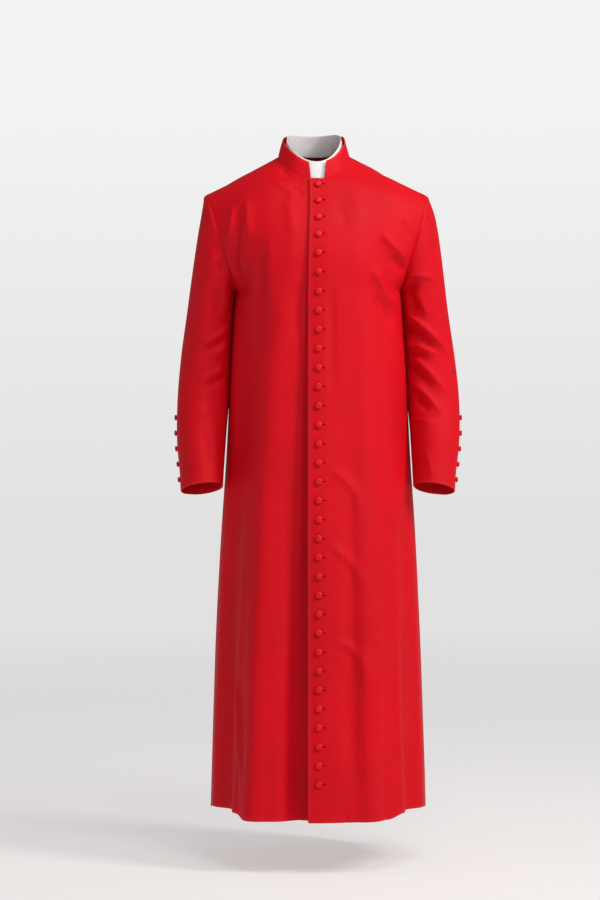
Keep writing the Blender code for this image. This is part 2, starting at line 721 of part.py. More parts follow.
def add_front_buttons(front_left, finish):
    tree = tree_of(front_left)
    for number, (point, outward) in enumerate(front_button_places(), 1):
        place = seat(tree, point, outward, FRONT_BUTTON_DIAMETER / 2)
        add_button(
            f"button_front_{number:02d}", place, outward, FRONT_BUTTON_DIAMETER, FRONT_BUTTON_HEIGHT, finish
        )


def add_cuff_buttons(sleeve, side_name, side, finish):
    tree = tree_of(sleeve)
    mirror = Vector((side, 1, 1))
    for number in range(1, CUFF_BUTTONS + 1):
        z = CUFF_BUTTON_TOP_Z - CUFF_BUTTON_PITCH * (number - 1)
        along = 1 + (SLEEVE[0].z - z) / (SLEEVE[0].z - SLEEVE[-1].z)
        point, outward = sleeve_point(0, along) * mirror, sleeve_normal(0, along) * mirror
        place = seat(tree, point, outward, CUFF_BUTTON_DIAMETER / 2)
        add_button(
            f"button_cuff_{side_name}_{number}",
            place,
            outward,
            CUFF_BUTTON_DIAMETER,
            CUFF_BUTTON_HEIGHT,
            finish,
        )


# ---- the cassock ---------------------------------------------------------------------------------
def main():
    for old in list(bpy.data.objects):
        bpy.data.objects.remove(old)
    cloth = material("red_wool_cloth", (0.62, 0.014, 0.022), 0.75)
    cover = material("red_button_cover", (0.60, 0.013, 0.020), 0.6)
    band = material("white_clerical_band", (0.86, 0.85, 0.83), 0.5)

    front_left = add_front("front_left", "left", 1, cloth)
    add_front("front_right", "right", -1, cloth)
    add_back(cloth)
    for side_name, side in (("left", 1), ("right", -1)):
        sleeve = add_sleeve("sleeve_" + side_name, side, cloth)
        add_cuff_buttons(sleeve, side_name, side, cover)
    add_collar(cloth)
    add_insert(band)
    add_front_buttons(front_left, cover)


main()
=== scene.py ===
"""A cassock as worn, dressed for show: fine cloth shells with their creases, worked buttonholes, covered
buttons, a white band in the collar, and a plain studio.

Metres, +Z up. +X is the wearer's left, -Y the front. The origin is the middle of the neck opening.
"""

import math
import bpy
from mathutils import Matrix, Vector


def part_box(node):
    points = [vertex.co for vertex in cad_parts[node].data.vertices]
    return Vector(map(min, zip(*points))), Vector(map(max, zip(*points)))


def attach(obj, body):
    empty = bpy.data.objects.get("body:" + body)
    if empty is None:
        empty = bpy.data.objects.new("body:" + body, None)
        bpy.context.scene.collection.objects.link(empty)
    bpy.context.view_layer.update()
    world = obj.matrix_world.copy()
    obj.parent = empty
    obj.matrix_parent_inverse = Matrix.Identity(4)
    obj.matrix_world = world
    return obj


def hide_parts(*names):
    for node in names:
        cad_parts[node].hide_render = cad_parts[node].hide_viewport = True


bl_info = {
    "name": "Cassock",
    "version": (1, 0, 0),
    "blender": (4, 5, 0),
    "location": "3D View > Sidebar > Cassock",
    "description": "Builds the cloth, buttons and studio of a worn cassock",
    "category": "Add Mesh",
}

from collections import namedtuple

import bpy
import numpy as np
from mathutils import Vector
from mathutils.bvhtree import BVHTree

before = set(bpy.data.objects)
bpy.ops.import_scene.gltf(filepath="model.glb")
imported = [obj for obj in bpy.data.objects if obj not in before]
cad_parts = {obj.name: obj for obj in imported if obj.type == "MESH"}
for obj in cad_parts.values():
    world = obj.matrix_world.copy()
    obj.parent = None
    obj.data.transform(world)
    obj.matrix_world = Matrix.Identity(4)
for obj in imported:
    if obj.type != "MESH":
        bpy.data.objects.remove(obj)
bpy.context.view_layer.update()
FRONT_BUTTON_NODES = sorted(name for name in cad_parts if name.startswith("button_front_"))
HOLE_MIDDLES = [
    ((low[0] + high[0]) / 2, (low[2] + high[2]) / 2) for low, high in map(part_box, FRONT_BUTTON_NODES)
]


def table(fields, *rows):
    """Rows of numbers that can be asked for by the names of their columns."""
    row = namedtuple("Row", fields)
    return tuple(row(*values) for values in rows)


# ---- the cut -------------------------------------------------------------------------------------
CLOTH = 0.0020
SEAM_OVERLAP = 0.0001  # sewn edges meet, and overlap by this much
HEM_Z, UNDERARM_Z, SHOULDER_TIP_Z = -1.437, -0.295, -0.081
SHOULDER_SEAM_ANGLE = 98.0
SIDES = (("left", 1), ("right", -1))

# The neck seam and the collar's top edge, as rings round the neck.
NECK, COLLAR_TOP = table(
    "half_width front back front_z side_z back_z",
    (0.080, -0.087, 0.078, -0.053, 0.000, 0.012),
    (0.069, -0.077, 0.064, -0.017, 0.040, 0.053),
)
NECK_LEAN = 0.009  # the neck leans to one side, from nothing at the first level or depth to all at the second
LEAN_Z, LEAN_Y = (-0.140, -0.030), (-0.115, -0.010)

ARMHOLE_X, ARMHOLE_Y = 0.184, 0.004
ARMHOLE_LEAN, ARMHOLE_EGG = 0.281, 0.12
ARMHOLE_FRONT, ARMHOLE_BACK = 0.078, 0.084

COLLAR_ENDS = ((0.0164, 0.0214), (-0.0150, -0.0178))  # x of the notch's sides, foot and top, left side first
COLLAR_TUCK = 0.0010  # its foot goes down inside the neck edge
COLLAR_TURN_IN = 0.0026  # its right end leans in against the band
COLLAR_TALL, COLLAR_RADIUS = 0.037, 0.078
COLLAR_WAVE, COLLAR_RIM_WAVE = 0.0008, 0.0005  # how uneven it is at half height and at its top
COLLAR_ROWS, COLLAR_COLUMNS, COLLAR_STEP = 17, 172, 0.0028

BAND_WALL, BAND_SETBACK, BAND_SHOWS, BAND_RADIUS = 0.0012, 0.0080, 0.0055, 0.072
BAND_ROWS, BAND_COLUMNS = 10, 144

LAP_WIDTH, LAP_WIDTH_AT_NECK = 0.0215, 0.0178
UNDERLAP_SETBACK, COLLAR_SETBACK, UNDERLAP_BLEND = 0.0055, 0.0028, 0.040

CUFF_BUTTONS, CUFF_BUTTON_PITCH, CUFF_BUTTON_TOP_Z = 5, 0.0338, -0.571

# The body below the underarm: one row for each level.
BODY = table(
    "z half_width front back front_round back_round",
    (-1.437, 0.2385, -0.248, 0.236, 0.60, 0.57),
    (-1.313, 0.2350, -0.233, 0.222, 0.60, 0.57),
    (-1.091, 0.2280, -0.212, 0.200, 0.60, 0.58),
    (-0.891, 0.2185, -0.194, 0.178, 0.60, 0.59),
    (-0.647, 0.2030, -0.175, 0.150, 0.60, 0.60),
    (-0.470, 0.1940, -0.165, 0.130, 0.60, 0.61),
    (-0.403, 0.1905, -0.163, 0.127, 0.60, 0.61),
    (-0.295, 0.1840, -0.161, 0.128, 0.60, 0.61),
)

# The centre lines above the underarm.
CENTRE_FRONT = table(
    "z y",
    (-0.403, -0.163),
    (-0.295, -0.161),
    (-0.257, -0.160),
    (-0.215, -0.1565),
    (-0.176, -0.1465),
    (-0.138, -0.1315),
    (-0.101, -0.113),
    (-0.053, -0.087),
)
CENTRE_BACK = table(
    "z y",
    (-0.403, 0.127),
    (-0.295, 0.128),
    (-0.220, 0.130),
    (-0.150, 0.1265),
    (-0.080, 0.115),
    (-0.030, 0.098),
    (0.012, 0.078),
)

# How a level of cloth leaves its inner edge and reaches the armhole; share runs from the underarm (0), where
# the body's last section goes on, to the shoulder seam (1).
HANDLE = "share inner_x inner_y inner_z outer_x outer_y outer_z"
FRONT_HANDLES = table(
    HANDLE,
    (0.00, 0.1104, 0.000, 0.000, 0.000, -0.099, 0.000),
    (0.25, 0.108, 0.000, 0.000, -0.021, -0.058, 0.006),
    (0.50, 0.098, 0.000, 0.000, -0.045, -0.046, 0.030),
    (0.625, 0.086, 0.000, 0.000, -0.054, -0.037, 0.038),
    (0.80, 0.066, 0.000, -0.018, -0.060, -0.019, 0.034),
    (1.00, 0.050, 0.000, -0.031, -0.060, 0.000, 0.025),
)
BACK_HANDLES = table(
    HANDLE,
    (0.00, 0.11224, 0.000, 0.000, 0.000, 0.07564, 0.000),
    (0.25, 0.108, 0.000, 0.000, -0.016, 0.044, 0.005),
    (0.50, 0.100, 0.000, 0.000, -0.045, 0.036, 0.024),
    (0.69, 0.084, 0.000, 0.000, -0.058, 0.026, 0.036),
    (0.85, 0.064, 0.000, -0.020, -0.060, 0.012, 0.032),
    (1.00, 0.050, 0.000, -0.031, -0.060, 0.000, 0.025),
)

# The two faces of the body: which way is out, where the neck starts, and the lines that shape them.
FACE = "sign neck_level neck_z neck_angle centre handles"
FACES = {
    "front": table(FACE, (-1, 10 / 16, NECK.front_z, 0, CENTRE_FRONT, FRONT_HANDLES))[0],
    "back": table(FACE, (1, 11 / 16, NECK.back_z, 180, CENTRE_BACK, BACK_HANDLES))[0],
}

# The long folds: angles in degrees round the body from the centre front (wearer's left positive), width is
# from the crest to where the fold has died out, depth is outwards.
FOLD = "pieces top_angle top_z low_angle low_z width depth low_depth fade"
FOLDS = table(
    FOLD,
    ("right", -30, -0.22, -34, -1.46, 0.050, 0.005, 0.020, 0.14),
    ("right", -56, -0.28, -62, -1.46, 0.060, -0.005, -0.026, 0.22),
    ("right", -9, -0.14, -11, -1.46, 0.055, -0.004, -0.038, 0.20),
    ("left right", 8.5, -0.26, 8, -0.56, 0.016, -0.0035, -0.0025, 0.10),
    ("left", 19, -0.70, 16.5, -1.42, 0.030, -0.006, -0.009, 0.20),
    ("left", 33, -0.24, 28, -1.46, 0.042, 0.003, 0.015, 0.22),
    ("left", 59, -0.60, 60, -1.46, 0.055, -0.005, -0.022, 0.30),
    ("back", 104, -0.70, 102, -1.46, 0.045, -0.005, -0.010, 0.25),
    ("back", -103, -0.75, -105, -1.46, 0.045, -0.005, -0.010, 0.25),
    ("back", 118, -0.62, 116, -1.46, 0.040, 0.004, 0.010, 0.30),
    ("back", 139, -0.55, 141, -1.46, 0.045, -0.005, -0.012, 0.30),
    ("back", 163, -0.50, 161, -1.46, 0.042, 0.005, 0.012, 0.30),
    ("back", -120, -0.58, -118, -1.46, 0.040, 0.004, 0.011, 0.30),
    ("back", -142, -0.62, -139, -1.46, 0.045, -0.005, -0.011, 0.30),
    ("back", -160, -0.52, -162, -1.46, 0.042, 0.005, 0.011, 0.30),
    ("back", 180, -0.60, 180, -1.46, 0.040, -0.003, -0.008, 0.30),
)

# The sleeve below its cap: the middle of each ring and its half sizes.
SLEEVE = table(
    "z x y half_width half_depth",
    (-0.360, 0.2408, 0.014, 0.0522, 0.069),
    (-0.440, 0.2488, 0.015, 0.0557, 0.067),
    (-0.540, 0.2554, 0.000, 0.0575, 0.062),
    (-0.630, 0.2571, -0.034, 0.0539, 0.056),
    (-0.700, 0.2550, -0.056, 0.0480, 0.051),
    (-0.731, 0.2546, -0.065, 0.0464, 0.050),
)
CUFF_RISE_FORWARD, CUFF_RISE_INWARD = 0.26, 0.13
# How the cap leaves the armhole: out, to the side and down, and how much more at the shoulder tip.
CAP_OUT, CAP_SIDE, CAP_DOWN = 0.020, 0.020, 0.045
CAP_OUT_AT_TIP, CAP_DOWN_AT_TIP = 0.045, 0.055
SLEEVE_FOLDS = table(
    FOLD,
    ("sleeve", 60, -0.335, 150, -0.350, 0.018, 0.003, 0.004, 0.03),
    ("sleeve", 40, -0.425, 140, -0.375, 0.020, 0.004, 0.005, 0.03),
    ("sleeve", 30, -0.455, 130, -0.405, 0.018, -0.004, -0.004, 0.03),
    ("sleeve", 60, -0.545, 150, -0.520, 0.020, 0.003, 0.004, 0.03),
)

# ---- creases -------------------------------------------------------------------------------------
# Pressed and dragged creases of the cloth, in millimetres: depth outwards, reach to each side, steep, crisp,
# and a line of (across, z) points. On the body "across" is x; on a sleeve it is the angle round the arm (0
# outside, 90 front, 180 against the body), 1 mm to a degree. steep narrows the side on the left of the line's
# run, and crisp sharpens the crest.
CREASES = {
    "left": (
        # a long standing edge, and three drags that run into it from the buttonholes
        (6.88, 30, -0.8, 0.6, (99, -1420), (93, -1180), (84, -1000), (82, -860), (84, -660)),
        (8.96, 60, 0, 0, (-20, -1440), (-20, -900), (-20, -450), (-20, -140)),
        (4.16, 11, 0.4, 0, (85, -820), (81, -757), (72, -735), (52, -711), (28, -693), (10, -676)),
        (4.48, 10, 0.4, 0, (86, -960), (80, -912), (62, -885), (37, -864), (14, -842)),
        (4.8, 10, 0.4, 0, (94, -1170), (87, -1100), (67, -1073), (42, -1057), (18, -1048)),
        (2.88, 6, 0, 0, (207, -1350), (203, -1164), (199, -960)),
        (-3.52, 10, 0, 0, (192, -1360), (188, -1170), (184, -980)),
        (8, 13, 0.3, 1, (176, -350), (150, -312), (128, -276), (112, -235)),
        (-7.04, 11, 0, 0, (170, -385), (140, -338), (118, -300)),
        (7.36, 11, 0.3, 1, (198, -240), (174, -216), (149, -192), (130, -165)),
        (-6.08, 10, 0, 0, (196, -262), (172, -243), (152, -222)),
        (-2.56, 8, 0, 0, (202, -193), (190, -168), (181, -140)),
        (-3.2, 4, 0, 0, (57, -1445), (57, -1408)),
        (1.6, 10, 0, 0, (125, -1400), (128, -1150), (126, -850), (120, -550)),
        (-2.24, 20, 0, 0, (160, -1400), (158, -1100), (150, -800)),
        (-1.92, 12, 0, 0, (30, -105), (52, -135), (62, -180)),
        (1.6, 12, 0, 0, (60, -70), (85, -110), (100, -160)),
    ),
    "right": (
        (8.96, 60, 0, 0, (-20, -1440), (-20, -900), (-20, -450), (-20, -140)),
        (-4.16, 7, 0, 0, (-27.5, -1440), (-27.5, -1000), (-27.5, -600), (-27.5, -260)),
        (4.48, 30, -0.3, 0, (-139, -1420), (-122, -760), (-113, -540), (-109, -240)),
        (2.56, 7, 0.2, 0, (-199, -1020), (-184, -1150), (-170, -1280), (-158, -1410)),
        (-3.84, 10, 0, 0, (-180, -1060), (-166, -1200), (-150, -1400)),
        (1.92, 8, 0, 0, (-188, -860), (-191, -1020), (-193, -1170)),
        (-2.56, 12, 0, 0, (-51, -270), (-50, -350), (-49, -430)),
        (5.44, 12, 0, 1, (-156, -85), (-154, -140), (-151, -200)),
        (-6.72, 10, 0, 0, (-170, -100), (-179, -176), (-187, -237), (-182, -290)),
        (5.12, 9, 0, 1, (-183, -100), (-192, -155), (-199, -205)),
        (-4.8, 8, 0, 0, (-192, -212), (-181, -250), (-171, -292)),
        (-4.16, 13, 0, 0, (-160, -215), (-162, -265), (-168, -330)),
        (-3.2, 12, 0, 0, (-128, -195), (-127, -270), (-123, -340)),
        (2.56, 12, 0, 0, (-104, -170), (-104, -260), (-100, -350)),
        (-3.84, 9, 0, 1, (-20, -66), (-45, -57), (-66, -40), (-83, -16)),
        (2.56, 6, 0.3, 0, (-96, -58), (-68, -78), (-44, -98)),
        (-2.24, 6, 0, 0, (-66, -66), (-44, -82), (-28, -98)),
        (2.4, 12, 0, 0, (-72, -84), (-62, -130), (-58, -190)),
        (-2.56, 22, 0, 0, (-85, -500), (-88, -800), (-94, -1200)),
    ),
    "back": (
        # of the same kind, unevenly placed
        (4.8, 13, 0.2, 0, (186, -310), (150, -285), (112, -272)),
        (-3.84, 11, 0, 0, (184, -335), (148, -308), (108, -298)),
        (4.48, 13, 0.2, 0, (-186, -322), (-154, -300), (-120, -290)),
        (-3.52, 11, 0, 0, (-182, -352), (-150, -328), (-114, -316)),
        (3.84, 12, 0, 0, (205, -170), (190, -210), (178, -262)),
        (3.52, 12, 0, 0, (-206, -160), (-190, -206), (-180, -254)),
        (2.56, 14, 0, 0, (80, -620), (86, -840), (98, -1100)),
        (-2.88, 16, 0, 0, (-52, -660), (-60, -920), (-64, -1220)),
        (3.52, 10, 0.3, 0, (-150, -520), (-112, -548), (-70, -556)),
        (2.88, 10, 0.3, 0, (148, -560), (118, -582), (78, -590)),
        (-2.24, 14, 0, 0, (-70, -52), (-20, -66), (40, -62)),
    ),
    "sleeve_left": (
        (5.44, 7, 0.35, 1, (182, -262), (150, -268), (112, -266), (70, -270), (40, -268)),
        (-6.56, 9, 0, 0, (186, -288), (150, -292), (120, -288), (96, -284)),
        (-6.24, 12, 0, 0, (150, -282), (128, -318), (112, -350)),
        (5.12, 11, 0, 1, (118, -292), (100, -326), (84, -362)),
        (9.6, 10, 0.4, 1, (34, -452), (66, -412), (100, -376), (138, -346), (170, -330)),
        (-8.48, 11, 0, 0, (74, -438), (106, -402), (142, -378), (174, -366)),
        (6.56, 8, 0.4, 1, (60, -440), (86, -432), (116, -418), (154, -412), (186, -404)),
        (-5.44, 8, 0, 0, (92, -452), (122, -440), (158, -436)),
        (7.68, 10, 0.35, 1, (52, -534), (78, -500), (104, -466), (128, -446), (160, -440)),
        (-7.04, 10, 0, 0, (86, -520), (112, -492), (138, -472), (170, -464)),
        (6.56, 9, 0.35, 1, (62, -584), (84, -556), (108, -524), (132, -506), (164, -500)),
        (-5.44, 10, 0, 0, (98, -566), (122, -544), (146, -532)),
        (3.36, 6, 0.3, 1, (84, -588), (120, -582), (164, -580)),
        (-4.8, 5, 0, 0, (44, -470), (26, -482), (8, -492)),
        (2.88, 9, 0, 1, (118, -640), (104, -680), (98, -720)),
        (3.68, 13, 0, 1, (330, -300), (290, -330), (250, -342)),
        (4.48, 12, 0, 1, (340, -440), (300, -430), (250, -405), (212, -392)),
        (-4, 11, 0, 0, (320, -468), (280, -455), (240, -436)),
        (3.68, 13, 0, 1, (320, -560), (280, -540), (236, -510)),
    ),
    "sleeve_right": (
        # smoother than the left
        (-4.48, 12, 0, 0, (58, -156), (84, -197), (110, -243), (138, -284)),
        (4.16, 11, 0.3, 0, (64, -238), (90, -226), (118, -222), (150, -224)),
        (-3.84, 12, 0, 0, (84, -256), (110, -248), (140, -246), (176, -258)),
        (4.16, 14, 0, 0, (116, -270), (128, -310), (142, -352)),
        (-3.84, 13, 0, 0, (96, -286), (106, -322), (120, -356)),
        (4.8, 9, 0.4, 0, (48, -412), (76, -410), (104, -400), (134, -380), (164, -352)),
        (-4.48, 9, 0, 0, (60, -430), (88, -430), (118, -418), (150, -398)),
        (4.16, 11, 0.3, 0, (94, -442), (122, -428), (152, -404)),
        (4.16, 11, 0.4, 0, (62, -494), (90, -490), (118, -476), (146, -456)),
        (-3.84, 10, 0, 0, (76, -512), (104, -504), (134, -488), (168, -470)),
        (2.56, 12, 0, 0, (52, -548), (84, -560), (120, -562)),
        (-2.88, 13, 0, 0, (96, -600), (110, -650), (112, -700)),
        (3.52, 14, 0, 0, (336, -320), (296, -348), (256, -362)),
        (3.52, 13, 0, 0, (330, -452), (292, -446), (248, -424)),
        (-3.2, 13, 0, 0, (316, -482), (276, -470), (240, -452)),
    ),
}
CREASE_SPAN = 3.2  # how many of its widths a crease is followed out to
CREASE_ENDS = 0.30  # the share of its length over which each end dies out
HEM_REACH = 0.03  # a crease that ends this close to the hem runs off it
DEGREE = 0.001  # metres of cloth to a degree round the arm, on average

# Long shallow waves that hang in any cloth, as half wave lengths across and down, depth and shift.
HANG = table(
    "across down depth shift",
    (0.083, 0.61, 0.00088, 0.4),
    (0.047, 0.34, 0.00048, 1.9),
    (0.121, 0.23, 0.00064, 3.1),
    (0.031, 0.17, 0.000256, 5.0),
)
BACK_HANG_SHIFT, SLEEVE_HANG_SHIFT = 2.2, 1.3
SLEEVE_HANG_DEEP, SLEEVE_HANG_WIDE = 0.09, 0.05  # the sleeve's size to the waves

HEM_LIFT, HEM_LIFT_TALL = 0.0090, 0.16  # the hem rides up this much before each side
HEM_LIFT_ANGLES = ((90, 14), (38, 10))  # where the lift has gone, and over how many degrees, side first
SEAM_REACH = 0.0024  # how far to each side a seam draws the cloth in
CENTRE_SEAM_SHARE, NECK_SEAM_SHARE = 0.7, 0.35  # of the depth of the other seams
CALM_BELOW_SHOULDER, CALM_BY_ARMHOLE = 0.4, 0.25  # folds die out over these shares of the chest
SEAM_CLEAR, NECK_CLEAR, ARMHOLE_CLEAR = 0.016, 0.010, 0.022  # creases die out over this much by a seam
ROPE_HEIGHT, ROPE_PLACE, ROPE_REACH = 0.0017, 0.0085, 0.0062  # the roll of the sleeve head past its seam
ROPE_ENDS, ROPE_BLEND = 0.35, 0.9  # it dies out towards the underarm
DRAWN_ANGLE, DRAWN_SHARE = 112, 2.4  # where the right sleeve is drawn in instead, and how many times as much
DRAWN_CALM, DRAWN_REACH = 42, 34  # degrees over which the roll has gone and the cloth is drawn in
FLAT_BY_BODY, FLAT_BLEND = 14, 34  # degrees each side of the body's that have no standing creases
BUTTON_PRESS, BUTTON_PRESS_REACH = 0.0009, 0.0110  # a button sinks into the cloth around it
HOLE_PULL, HOLE_PULL_REACH = 0.0008, 0.0055  # and the cloth lifts at the end of its buttonhole,
HOLE_PULL_X, HOLE_PULL_LONG = 0.0185, 1.6  # this far from the button, and longer than it is high
EDGE_WEAR_AND_HIGHLIGHT_REACH = 0.0045  # how far in from an edge the cloth is rubbed and painted paler: real wear and a painted highlight
# How far the sleeve swells where it rests against the body.
SIDE_REST_ANGLE, SIDE_REST_REACH = 172, 30
SIDE_REST = table(
    "z swell",
    (-0.600, 0.0000),
    (-0.540, 0.0010),
    (-0.400, 0.0014),
    (-0.350, 0.0022),
    (-0.320, 0.0036),
    (-0.285, 0.0030),
    (-0.262, 0.0000),
)

# ---- buttons and buttonholes ---------------------------------------------------------------------
FRONT_BUTTON, CUFF_BUTTON = (0.0155, 0.0062), (0.0125, 0.0055)  # diameter and height
# A mould covered in the cloth: (width, height) from the middle of its back, over the edge, to its crown.
BUTTON_PROFILE = (
    (0.00, 0.020),
    (0.46, 0.000),
    (0.76, 0.015),
    (0.90, 0.075),
    (0.970, 0.180),
    (1.000, 0.320),
    (0.998, 0.470),
    (0.975, 0.620),
    (0.920, 0.745),
    (0.830, 0.845),
    (0.690, 0.915),
    (0.480, 0.962),
    (0.250, 0.990),
    (0.00, 1.000),
)
GATHERS, RIPPLE = 14, 0.018  # of the cloth round a button's edge
STITCH_PROFILE = ((0.0, -0.5), (0.62, -0.42), (1.0, -0.16), (1.0, 0.16), (0.62, 0.42), (0.0, 0.5))
STITCH_SLANT = 0.35
HOLE_FROM, HOLE_TO = -0.0015, 0.0150  # a buttonhole's ends, from its button's middle
HOLE_HALF_HEIGHT, STITCH_LIFT = 0.0011, 0.00012
# The slit of each buttonhole, filled by a thin dark lens of painted shade: half height, steps along and
# points round.
SLIT_HALF_HEIGHT, SLIT_STEPS, SLIT_AROUND = 0.00046, 12, 8

# ---- mesh density --------------------------------------------------------------------------------
FINE_BELOW, FINE_ABOVE = 252, 96
LAP_STEPS, FRONT_STEPS, BACK_STEPS = 6, 62, 54
CAP_STEPS, TUBE_STEPS, SLEEVE_AROUND = 62, 104, 116
RIM_STEPS, SHARP_ANGLE = 4, 55

# ---- studio --------------------------------------------------------------------------------------
FLOOR_Z, FLOOR_RADIUS, FLOOR_SIDES, FLOOR_RINGS = -1.552, 26.0, 96, 24
FLOOR_GLOW = 0.62  # light of its own, as the paper is lit from below too
FLOOR_FADE = (1.4, 7.0)  # it melts into the backdrop between these distances
DOME_RADIUS, DOME_SIDES, DOME_RINGS = 30.0, 64, 32
SKY = "#E2E0E0"
WORLD_LIGHT, LAMP_COLOUR = 0.21, (1.0, 0.985, 0.965)
CAMERA_AT, CAMERA_LENS = (-0.040, -5.5, -0.6472), 99.08
# Soft boxes: where they stand, the level of the middle line that they face, and their power in watts.
LAMPS = table(
    "name place target_z width height power",
    ("key_softbox", (3.9, -2.3, 2.8), -0.16, 1.3, 2.2, 188.0),
    ("front_softbox", (2.4, -4.4, 3.0), -0.20, 1.6, 1.4, 36.0),
    ("fill_softbox", (-4.4, -1.5, 0.2), -0.80, 2.0, 2.6, 13.0),
    ("top_softbox", (0.8, -2.2, 2.8), -0.05, 1.8, 1.2, 55.0),
)


# ---- curves --------------------------------------------------------------------------------------
def smooth(share):
    """0 to 1 with level ends."""
    share = np.clip(share, 0.0, 1.0)
    return share * share * (3 - 2 * share)


def near(distance, reach):
    """1 on the spot, a third of that at the reach and soon nothing beyond it."""
    return np.exp(-((distance / reach) ** 2))


def hermite(start, start_slope, end, end_slope, t):
    t2, t3 = t * t, t * t * t
    leaving = start * (2 * t3 - 3 * t2 + 1) + start_slope * (t3 - 2 * t2 + t)
    return leaving + end * (3 * t2 - 2 * t3) + end_slope * (t3 - t2)


def read(rows, column, at):
    """A column read between its rows, whose first column is the key, along a smooth curve."""
    rows = sorted(rows)
    keys = np.array([row[0] for row in rows], float)
    values = np.array([getattr(row, column) for row in rows], float)
    runs = np.diff(keys)
    slopes = np.diff(values) / runs
    inner = (slopes[:-1] * runs[1:] + slopes[1:] * runs[:-1]) / (runs[:-1] + runs[1:])
    tangents = np.concatenate([slopes[:1], inner, slopes[-1:]])
    at = np.clip(at, keys[0], keys[-1])
    i = np.clip(np.searchsorted(keys, at, side="right") - 1, 0, len(runs) - 1)
    run, t = runs[i], (at - keys[i]) / runs[i]
    return hermite(values[i], tangents[i] * run, values[i + 1], tangents[i + 1] * run, t)


def bezier(row, t):
    t = t[:, None]
    u = 1 - t
    return row[0] * u**3 + row[1] * 3 * u * u * t + row[2] * 3 * u * t * t + row[3] * t**3


def unit(vectors):
    return vectors / np.maximum(np.linalg.norm(vectors, axis=-1, keepdims=True), 1e-12)


def oval(angle, ring):
    """Points of a neck ring; angle in degrees from the centre front, towards the wearer's left."""
    turn = np.radians(angle)
    middle_y, half_depth = (ring.front + ring.back) / 2, (ring.back - ring.front) / 2
    middle_z, half_rise = (ring.front_z + ring.back_z) / 2, (ring.back_z - ring.front_z) / 2
    rise = middle_z - half_rise * np.cos(turn) + (ring.side_z - middle_z) * np.sin(turn) ** 2
    return np.stack([ring.half_width * np.sin(turn), middle_y - half_depth * np.cos(turn), rise], axis=-1)


def collar_point(angle, height):
    """height runs from 0 at the neck seam to 1 at the collar's top."""
    foot = oval(angle, NECK)
    return foot + (oval(angle, COLLAR_TOP) - foot) * np.asarray(height)[..., None]


def armhole_point(angle):
    """The armhole on the wearer's left: 0 at the shoulder tip, 90 front, 180 underarm, 270 back."""
    turn = np.radians(angle)
    middle_z, half_height = (SHOULDER_TIP_Z + UNDERARM_Z) / 2, (SHOULDER_TIP_Z - UNDERARM_Z) / 2
    half_depth = np.where(np.sin(turn) > 0, ARMHOLE_FRONT, ARMHOLE_BACK)
    z = middle_z + half_height * np.cos(turn)
    y = ARMHOLE_Y - half_depth * np.sin(turn) * (1 - ARMHOLE_EGG * np.cos(turn))
    return np.stack([ARMHOLE_X + ARMHOLE_LEAN * (z - UNDERARM_Z), y, z], axis=-1)


# ---- the body's form -----------------------------------------------------------------------------
def body_row(face, level):
    """The four Bezier points of one level, on the wearer's left: -1 hem, 0 underarm, 1 shoulder seam."""
    half = FACES[face]
    if level <= 0:
        z = UNDERARM_Z + level * (UNDERARM_Z - HEM_Z)
        width, centre_y, roundness = (
            float(read(BODY, column, z)) for column in ("half_width", face, face + "_round")
        )
        inner, outer = np.array([0, centre_y, z]), np.array([width, ARMHOLE_Y * (1 + level), z])
        reach = roundness * (centre_y - outer[1])
        return inner, inner + [roundness * width, 0, 0], outer + [0, reach, 0], outer
    outer = armhole_point(-half.sign * 180 * (1 - level))
    if level <= half.neck_level:
        z = UNDERARM_Z + level / half.neck_level * (half.neck_z - UNDERARM_Z)
        inner = np.array([0, float(read(half.centre, "y", z)), z])
    else:
        share = (level - half.neck_level) / (1 - half.neck_level)
        inner = oval(half.neck_angle + share * (SHOULDER_SEAM_ANGLE - half.neck_angle), NECK)
    columns = half.handles[0]._fields[1:]
    parts = np.array([float(read(half.handles, column, level)) for column in columns])
    return inner, inner + parts[:3], outer + parts[3:], outer


def along_row(row, shares):
    points = bezier(row, np.abs(shares))
    points[:, 0] *= np.copysign(1.0, shares)
    return points


def body_normals(face, level, shares):
    step, above = 0.002, level > 0
    low = max(level - step, 0.004) if above else level - step
    high = min(level + step, 1) if above else level
    side, across = np.copysign(1.0, shares), np.abs(shares)
    rising = along_row(body_row(face, high), across) - along_row(body_row(face, low), across)
    row = body_row(face, level)
    before = across - step if level <= FACES[face].neck_level else np.maximum(across - step, 0)
    leading = along_row(row, np.minimum(across + step, 1)) - bezier(row, before)
    leading[(before < 0) & (across == 0), 1:] = 0
    normals = unit(np.cross(leading, rising)) * -FACES[face].sign
    normals[:, 0] *= side
    return normals


def lap_share(level, x):
    """The share at which a front level reaches x from the centre line."""
    row = body_row("front", min(level, FACES["front"].neck_level))
    low, high = 0.0, 0.5
    for _ in range(22):
        middle = (low + high) / 2
        low, high = (middle, high) if along_row(row, np.array([middle]))[0, 0] < x else (low, middle)
    return low


def fold_depth(folds, piece, angle, z, girth_per_degree):
    """How far the long folds move the cloth outwards."""
    total = np.zeros_like(z)
    for fold in folds:
        if piece not in fold.pieces:
            continue
        run = (fold.top_z - z) / (fold.top_z - fold.low_z)
        centre = fold.top_angle + (fold.low_angle - fold.top_angle) * run
        across = np.abs((angle - centre + 180) % 360 - 180) * girth_per_degree / fold.width
        depth = fold.depth + (fold.low_depth - fold.depth) * smooth(run)
        ends = smooth((fold.top_z - z) / fold.fade)
        if fold.low_z > HEM_Z:
            ends = ends * smooth((z - fold.low_z) / fold.fade)
        crest = (1 + np.cos(np.pi * np.minimum(across, 1))) / 2
        total += np.where((run > -0.2) & (run < 1.2), depth * ends * crest, 0)
    return total


